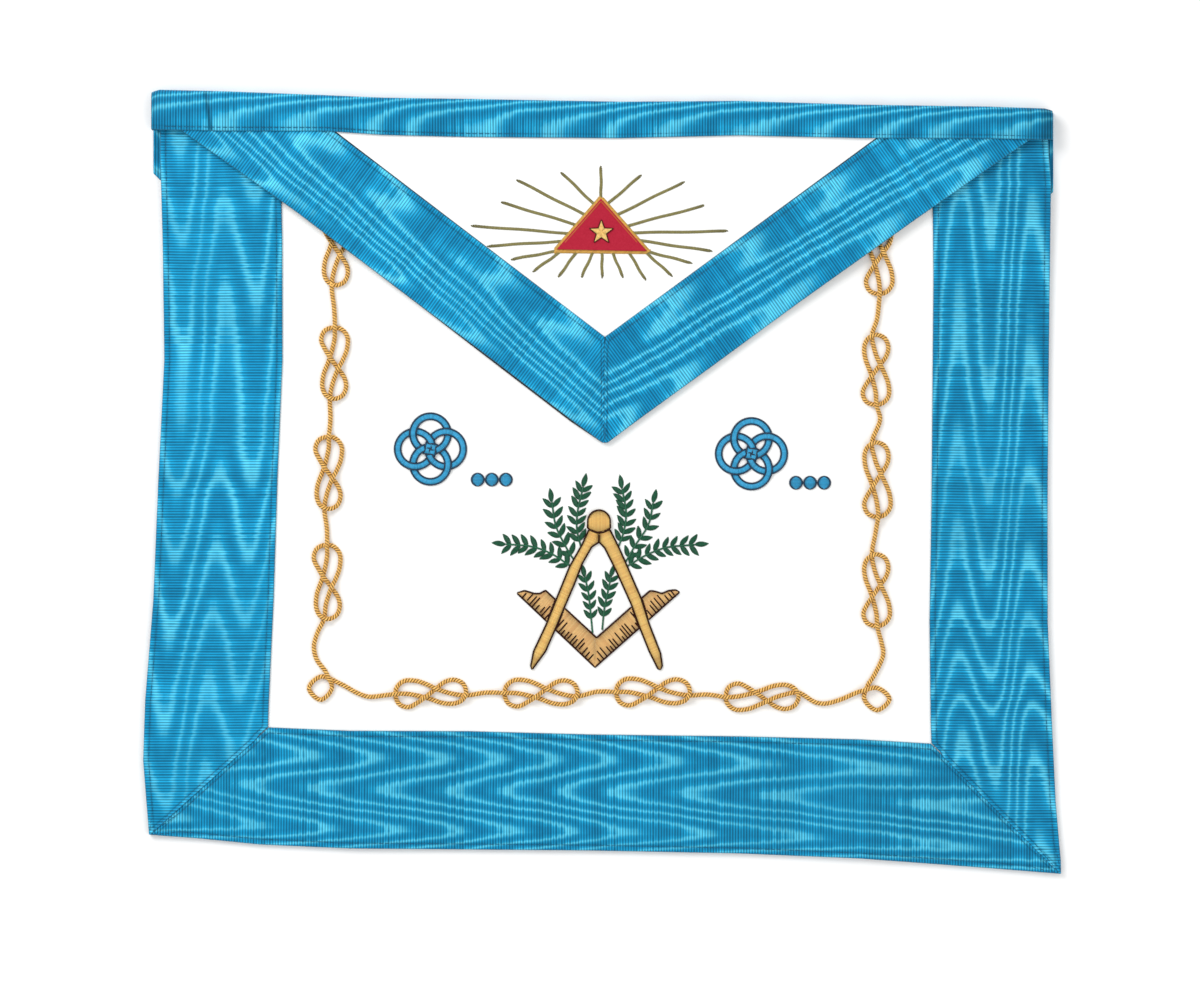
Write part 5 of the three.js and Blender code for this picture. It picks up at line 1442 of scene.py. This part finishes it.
class APRON_OT_rosettes(bpy.types.Operator):
    """Builds the interlaced quatrefoils and the dots in sky-blue satin stitch"""

    bl_idname = "apron.rosettes"
    bl_label = "Quatrefoils and dots"

    def execute(self, context):
        threads = context.scene.apron_threads
        pitch, pad, radius = threads.thread_pitch, threads.padding, threads.outline_width / 2
        blue, navy = "sky-blue rayon thread", "navy rayon thread"
        panel = height_field("apron_panel", 1).at
        for side in ("left", "right"):
            node = f"quatrefoil_{side}"
            centre, reach = self.circle_of(node)
            lobe = reach * RING_RADIUS
            work = Threads(panel, 251)
            edges = []
            for degrees in (0, 90, 180, 270):
                middle = centre + (reach - lobe) * heading(degrees)
                edges += self.add_ring(work, middle, degrees, lobe)
            work.piece(f"quatrefoil_{side}_blue", blue, "blue", [node])
            make_tubes(f"quatrefoil_{side}_outline", edges, radius, navy)
            rims = []
            for k in (1, 2, 3):
                dot = f"dot_{side}_{k}"
                centre, reach = self.circle_of(dot)
                angles = np.linspace(0, 2 * np.pi, 24, endpoint=False)
                circle = centre + reach * np.column_stack([np.cos(angles), np.sin(angles)])
                loop = evenly(circle, 0.7 * MM, True)
                work = Threads(panel, 260 + k)
                work.add(*spans_of(loop, 90, pitch), pitch * COVER, pad)
                work.piece(f"{dot}_blue", blue, "blue", [dot])
                rims.append(lifted(loop, panel, 0.45 * MM))
            make_tubes(f"dots_{side}_outline", rims, radius, navy)
        return {"FINISHED"}

    def circle_of(self, node):
        """The middle of a CAD node seen from above, and half its width."""
        low, high = (np.array(corner[:2]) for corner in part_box(node))
        return (low + high) / 2, (high[0] - low[0]) / 2

    def add_ring(self, work, middle, degrees, radius):
        """One ring, passing over its neighbours at every second crossing; gives its edges."""
        threads = bpy.context.scene.apron_threads
        pitch, pad, band = threads.thread_pitch, threads.padding, threads.rosette_band
        count = int(2 * np.pi * (radius - band / 2) / pitch)
        angles = np.linspace(0, 2 * np.pi, count, endpoint=False)
        lift = self.weave(np.degrees(angles) - degrees)
        way = np.column_stack([np.cos(angles), np.sin(angles)])
        work.add(middle + way * (radius - band), middle + way * radius,
                 pitch * 1.3, pad * 0.8, lift)
        return [
            lifted(middle + way[::2] * edge, work.surface, 0.5 * MM + lift[::2])
            for edge in (radius - EDGE_INSET, radius - band + EDGE_INSET)
        ]

    def weave(self, angles):
        """How far a ring rises over its neighbours, at angles from its own lobe's direction."""
        lift = np.zeros_like(angles)
        for over in WEAVE_ANGLES:
            gap = np.abs((angles - over + 180) % 360 - 180)
            lift = np.maximum(lift, np.clip(1 - (gap / WEAVE_REACH) ** 2, 0, 1) ** 2)
        return lift * WEAVE_RISE


# The delta's border in satin stitch, and the widths that tell a ray's end in its outline
DELTA_BORDER, DELTA_PAD = 2.1 * MM, 0.6 * MM
RAY_ENDS, SHORTEST_RAY = (0.8 * MM, 1.35 * MM), 3 * MM
# A point of the star is widest at a share of its length, and falls off to both sides of it
STAR_WAIST, STAR_RISE, STAR_FALL, STAR_SIZE, STAR_PAD = 0.42, 0.9, 0.62, 0.72, 0.75 * MM


class APRON_OT_delta(bpy.types.Operator):
    """Builds the radiant delta: felt, gold frame, rays and a star"""

    bl_idname = "apron.delta"
    bl_label = "Radiant delta"

    def execute(self, context):
        threads = context.scene.apron_threads
        pitch = threads.thread_pitch
        flap = height_field("flap_panel", 1).at
        rays, corners = self.parts()
        sides = np.array([(0, 1), (1, 2), (2, 0)])
        felt = make_cloth(
            "felt_triangle", "delta_felt", 0.8 * MM, 40, "wool felt",
            roughness=0.05 * MM, seed=131, outline=(corners_moved(corners, [-0.2 * MM] * 3), sides),
        )

        work = Threads(flap, 301, small=True)
        for a, b in sides:
            way, length = way_between(corners[a], corners[b])
            apart = pitch * 1.25
            middle = corners[a] + way * np.arange(0, length, apart)[:, None]
            work.add_across(middle, way, DELTA_BORDER / 2, 1.0, apart * 1.15, DELTA_PAD)
        work.piece("delta_border", "yellow gilt thread", "gold")
        inner = evenly(corners_moved(corners, [-1.0 * MM] * 3), 0.8 * MM, True)
        make_tubes("delta_inner_edge", [lifted(inner, flap, 1.1 * MM)], 0.3 * MM,
                   "orange rayon thread")

        work = Threads(flap, 302, small=True)
        for start, end in rays:
            self.add_ray(work, start, end, threads.ray_width, pitch)
        work.piece("delta_rays", "old-gold rayon thread", "rays", ["delta_frame"])
        self.add_star(pitch)
        return {"FINISHED"}

    def parts(self):
        """The rays' ends and the frame's middle corners, from the CAD frame's outline."""
        inner, *_, outline = sorted(top_loops("delta_frame"), key=lambda loop: np.ptp(loop[:, 0]))
        corners = simplified(inner)
        level = [abs(run[1]) < abs(run[0]) * 0.3 for run in np.roll(corners, -1, 0) - corners]
        corners = corners_moved(corners, [(0.8 if flat else 1.5) * MM for flat in level])
        rays = []
        for k in range(len(outline)):
            before, a, b, after = (outline[(k + step) % len(outline)] for step in (-1, 0, 1, 2))
            start, end = (before + after) / 2, (a + b) / 2
            narrow = RAY_ENDS[0] < np.linalg.norm(b - a) < RAY_ENDS[1]
            if narrow and np.linalg.norm(end - start) > SHORTEST_RAY:
                rays.append((start, end))
        return rays, corners

    def add_ray(self, work, start, end, width, pitch):
        """A ray of short slanting threads that sways a little and narrows at its end."""
        way, length = way_between(start, end)
        place = np.arange(0, length, pitch * 1.4)
        sway = np.sin(place / length * np.pi * 3 + start[0] * 400) * 0.12 * MM
        middle = start + way * place[:, None] + left_of(way) * sway[:, None]
        dim = 1.05 - 0.45 * np.clip((place / length - 0.75) / 0.25, 0, 1)
        half = width / 2 * np.sqrt(np.clip((length - place) / (1.5 * MM), 0.15, 1))
        work.add_across(middle, way, half, 0.6, pitch * 1.45, 0.4 * MM, dim)

    def add_star(self, pitch):
        """A five-pointed star on the felt, each point of threads from its middle outwards."""
        felt = height_field("delta_felt", 1).at
        loop = top_loops("delta_star")[0]
        centre = loop.mean(0)
        reach = np.linalg.norm(loop - centre, axis=1)
        far = reach.max()
        work = Threads(felt, 303)
        for tip in loop[reach > 0.9 * far]:
            way = way_between(centre, tip)[0]
            place = np.arange(0.02, 0.98, pitch / far)
            wide = np.where(place < STAR_WAIST, place * STAR_RISE, (1 - place) * STAR_FALL)
            middle = centre + way * (place * far - 0.4 * MM)[:, None]
            work.add_across(middle, way, wide * far * STAR_SIZE, 0.0, pitch * 1.15, STAR_PAD)
        work.piece("delta_star_gold", "gold rayon thread", "gold", ["delta_star"])
        line = lifted(evenly(loop, 0.5 * MM, True), felt, 0.35 * MM)
        make_tubes("delta_star_outline", [line], 0.22 * MM, "brown rayon thread")


def corners_moved(corners, distances):
    """The corners of a triangle after each of its sides has moved outwards."""
    centre = np.mean(corners, 0)
    lines = []
    for k, distance in enumerate(distances):
        a, b = corners[k], corners[(k + 1) % len(corners)]
        normal = np.array([b[1] - a[1], a[0] - b[0]]) / np.linalg.norm(b - a)
        if normal @ (a - centre) < 0:
            normal = -normal
        lines.append((normal, normal @ a + distance))
    made = []
    for k, (normal, reach) in enumerate(lines):
        before, far = lines[k - 1]
        made.append(np.linalg.solve(np.array([before, normal]), np.array([far, reach])))
    return np.array(made)


def simplified(loop):
    """The corners of a loop, without the points on its straight sides."""
    before, after = np.roll(loop, 1, 0) - loop, np.roll(loop, -1, 0) - loop
    turn = before[:, 0] * after[:, 1] - before[:, 1] * after[:, 0]
    size = np.linalg.norm(before, axis=1) * np.linalg.norm(after, axis=1)
    return loop[np.abs(turn / size) > 0.2]


class APRON_OT_stage(bpy.types.Operator):
    """Builds the floor, the soft studio lights and the camera straight above"""

    bl_idname = "apron.stage"
    bl_label = "Stage"

    def execute(self, context):
        scene = context.scene
        reach = 3.0
        corners = [(-reach, -reach, 0), (reach, -reach, 0), (reach, reach, 0), (-reach, reach, 0)]
        mesh = bpy.data.meshes.new("floor")
        mesh.from_pydata(corners, [], [(0, 1, 2, 3)])
        mesh.materials.append(finish("matt painted board"))
        floor = bpy.data.objects.new("floor", mesh)
        floor.location.z = -0.3 * MM
        scene.collection.objects.link(floor)

        for name, place, size, power in (
            ("key_light", (-0.9, 0.9, 1.3), 0.9, 17.0),
            ("fill_light", (0.9, -0.5, 1.6), 1.4, 9.0),
        ):
            data = bpy.data.lights.new(name, "AREA")
            data.shape, data.size, data.energy = "SQUARE", size, power
            light = bpy.data.objects.new(name, data)
            light.location = place
            light.rotation_euler = (-Vector(place)).to_track_quat("-Z", "Y").to_euler()
            scene.collection.objects.link(light)
        world = bpy.data.worlds.new("studio")
        world.use_nodes = True
        background = world.node_tree.nodes["Background"]
        background.inputs["Color"].default_value = (1, 1, 1, 1)
        background.inputs["Strength"].default_value = 0.72
        scene.world = world
        scene.view_settings.view_transform = "Standard"

        # The picture is 1200 pixels of 0.455 mm wide, centred a little below the middle
        data = bpy.data.cameras.new("camera")
        data.sensor_width = 36.0
        far, wide = 2.0, 1200 * 0.455 * MM
        data.lens = data.sensor_width * far / wide
        camera = bpy.data.objects.new("camera", data)
        camera.location = (-0.9 * MM, -5.7 * MM, far)
        scene.collection.objects.link(camera)
        scene.camera = camera
        return {"FINISHED"}


class APRON_PT_panel(bpy.types.Panel):
    """The apron's settings and the buttons that build it"""

    bl_idname = "APRON_PT_panel"
    bl_label = "Lodge apron"
    bl_space_type = "VIEW_3D"
    bl_region_type = "UI"
    bl_category = "Apron"

    def draw(self, context):
        for group in (
            context.scene.apron_cloth, context.scene.apron_threads, context.scene.apron_colours
        ):
            for key in group.bl_rna.properties.keys():
                if key not in ("rna_type", "name"):
                    self.layout.prop(group, key)
        for operator in OPERATORS:
            self.layout.operator(operator.bl_idname)


OPERATORS = (
    APRON_OT_stage, APRON_OT_panel, APRON_OT_border, APRON_OT_belt, APRON_OT_flap,
    APRON_OT_waistband, APRON_OT_cord, APRON_OT_emblem, APRON_OT_sprigs,
    APRON_OT_rosettes, APRON_OT_delta,
)
CLASSES = (ApronCloth, ApronThreads, ApronColours, *OPERATORS, APRON_PT_panel)


def register():
    for cls in CLASSES:
        bpy.utils.register_class(cls)
    bpy.types.Scene.apron_cloth = bpy.props.PointerProperty(type=ApronCloth)
    bpy.types.Scene.apron_threads = bpy.props.PointerProperty(type=ApronThreads)
    bpy.types.Scene.apron_colours = bpy.props.PointerProperty(type=ApronColours)


def unregister():
    del bpy.types.Scene.apron_colours
    del bpy.types.Scene.apron_threads
    del bpy.types.Scene.apron_cloth
    for cls in reversed(CLASSES):
        bpy.utils.unregister_class(cls)


def main():
    register()
    bpy.ops.apron.stage()
    bpy.ops.apron.panel()
    bpy.ops.apron.border()
    bpy.ops.apron.belt()
    bpy.ops.apron.flap()
    bpy.ops.apron.waistband()
    bpy.ops.apron.cord()
    bpy.ops.apron.emblem()
    bpy.ops.apron.sprigs()
    bpy.ops.apron.rosettes()
    bpy.ops.apron.delta()


if __name__ == "__main__":
    main()
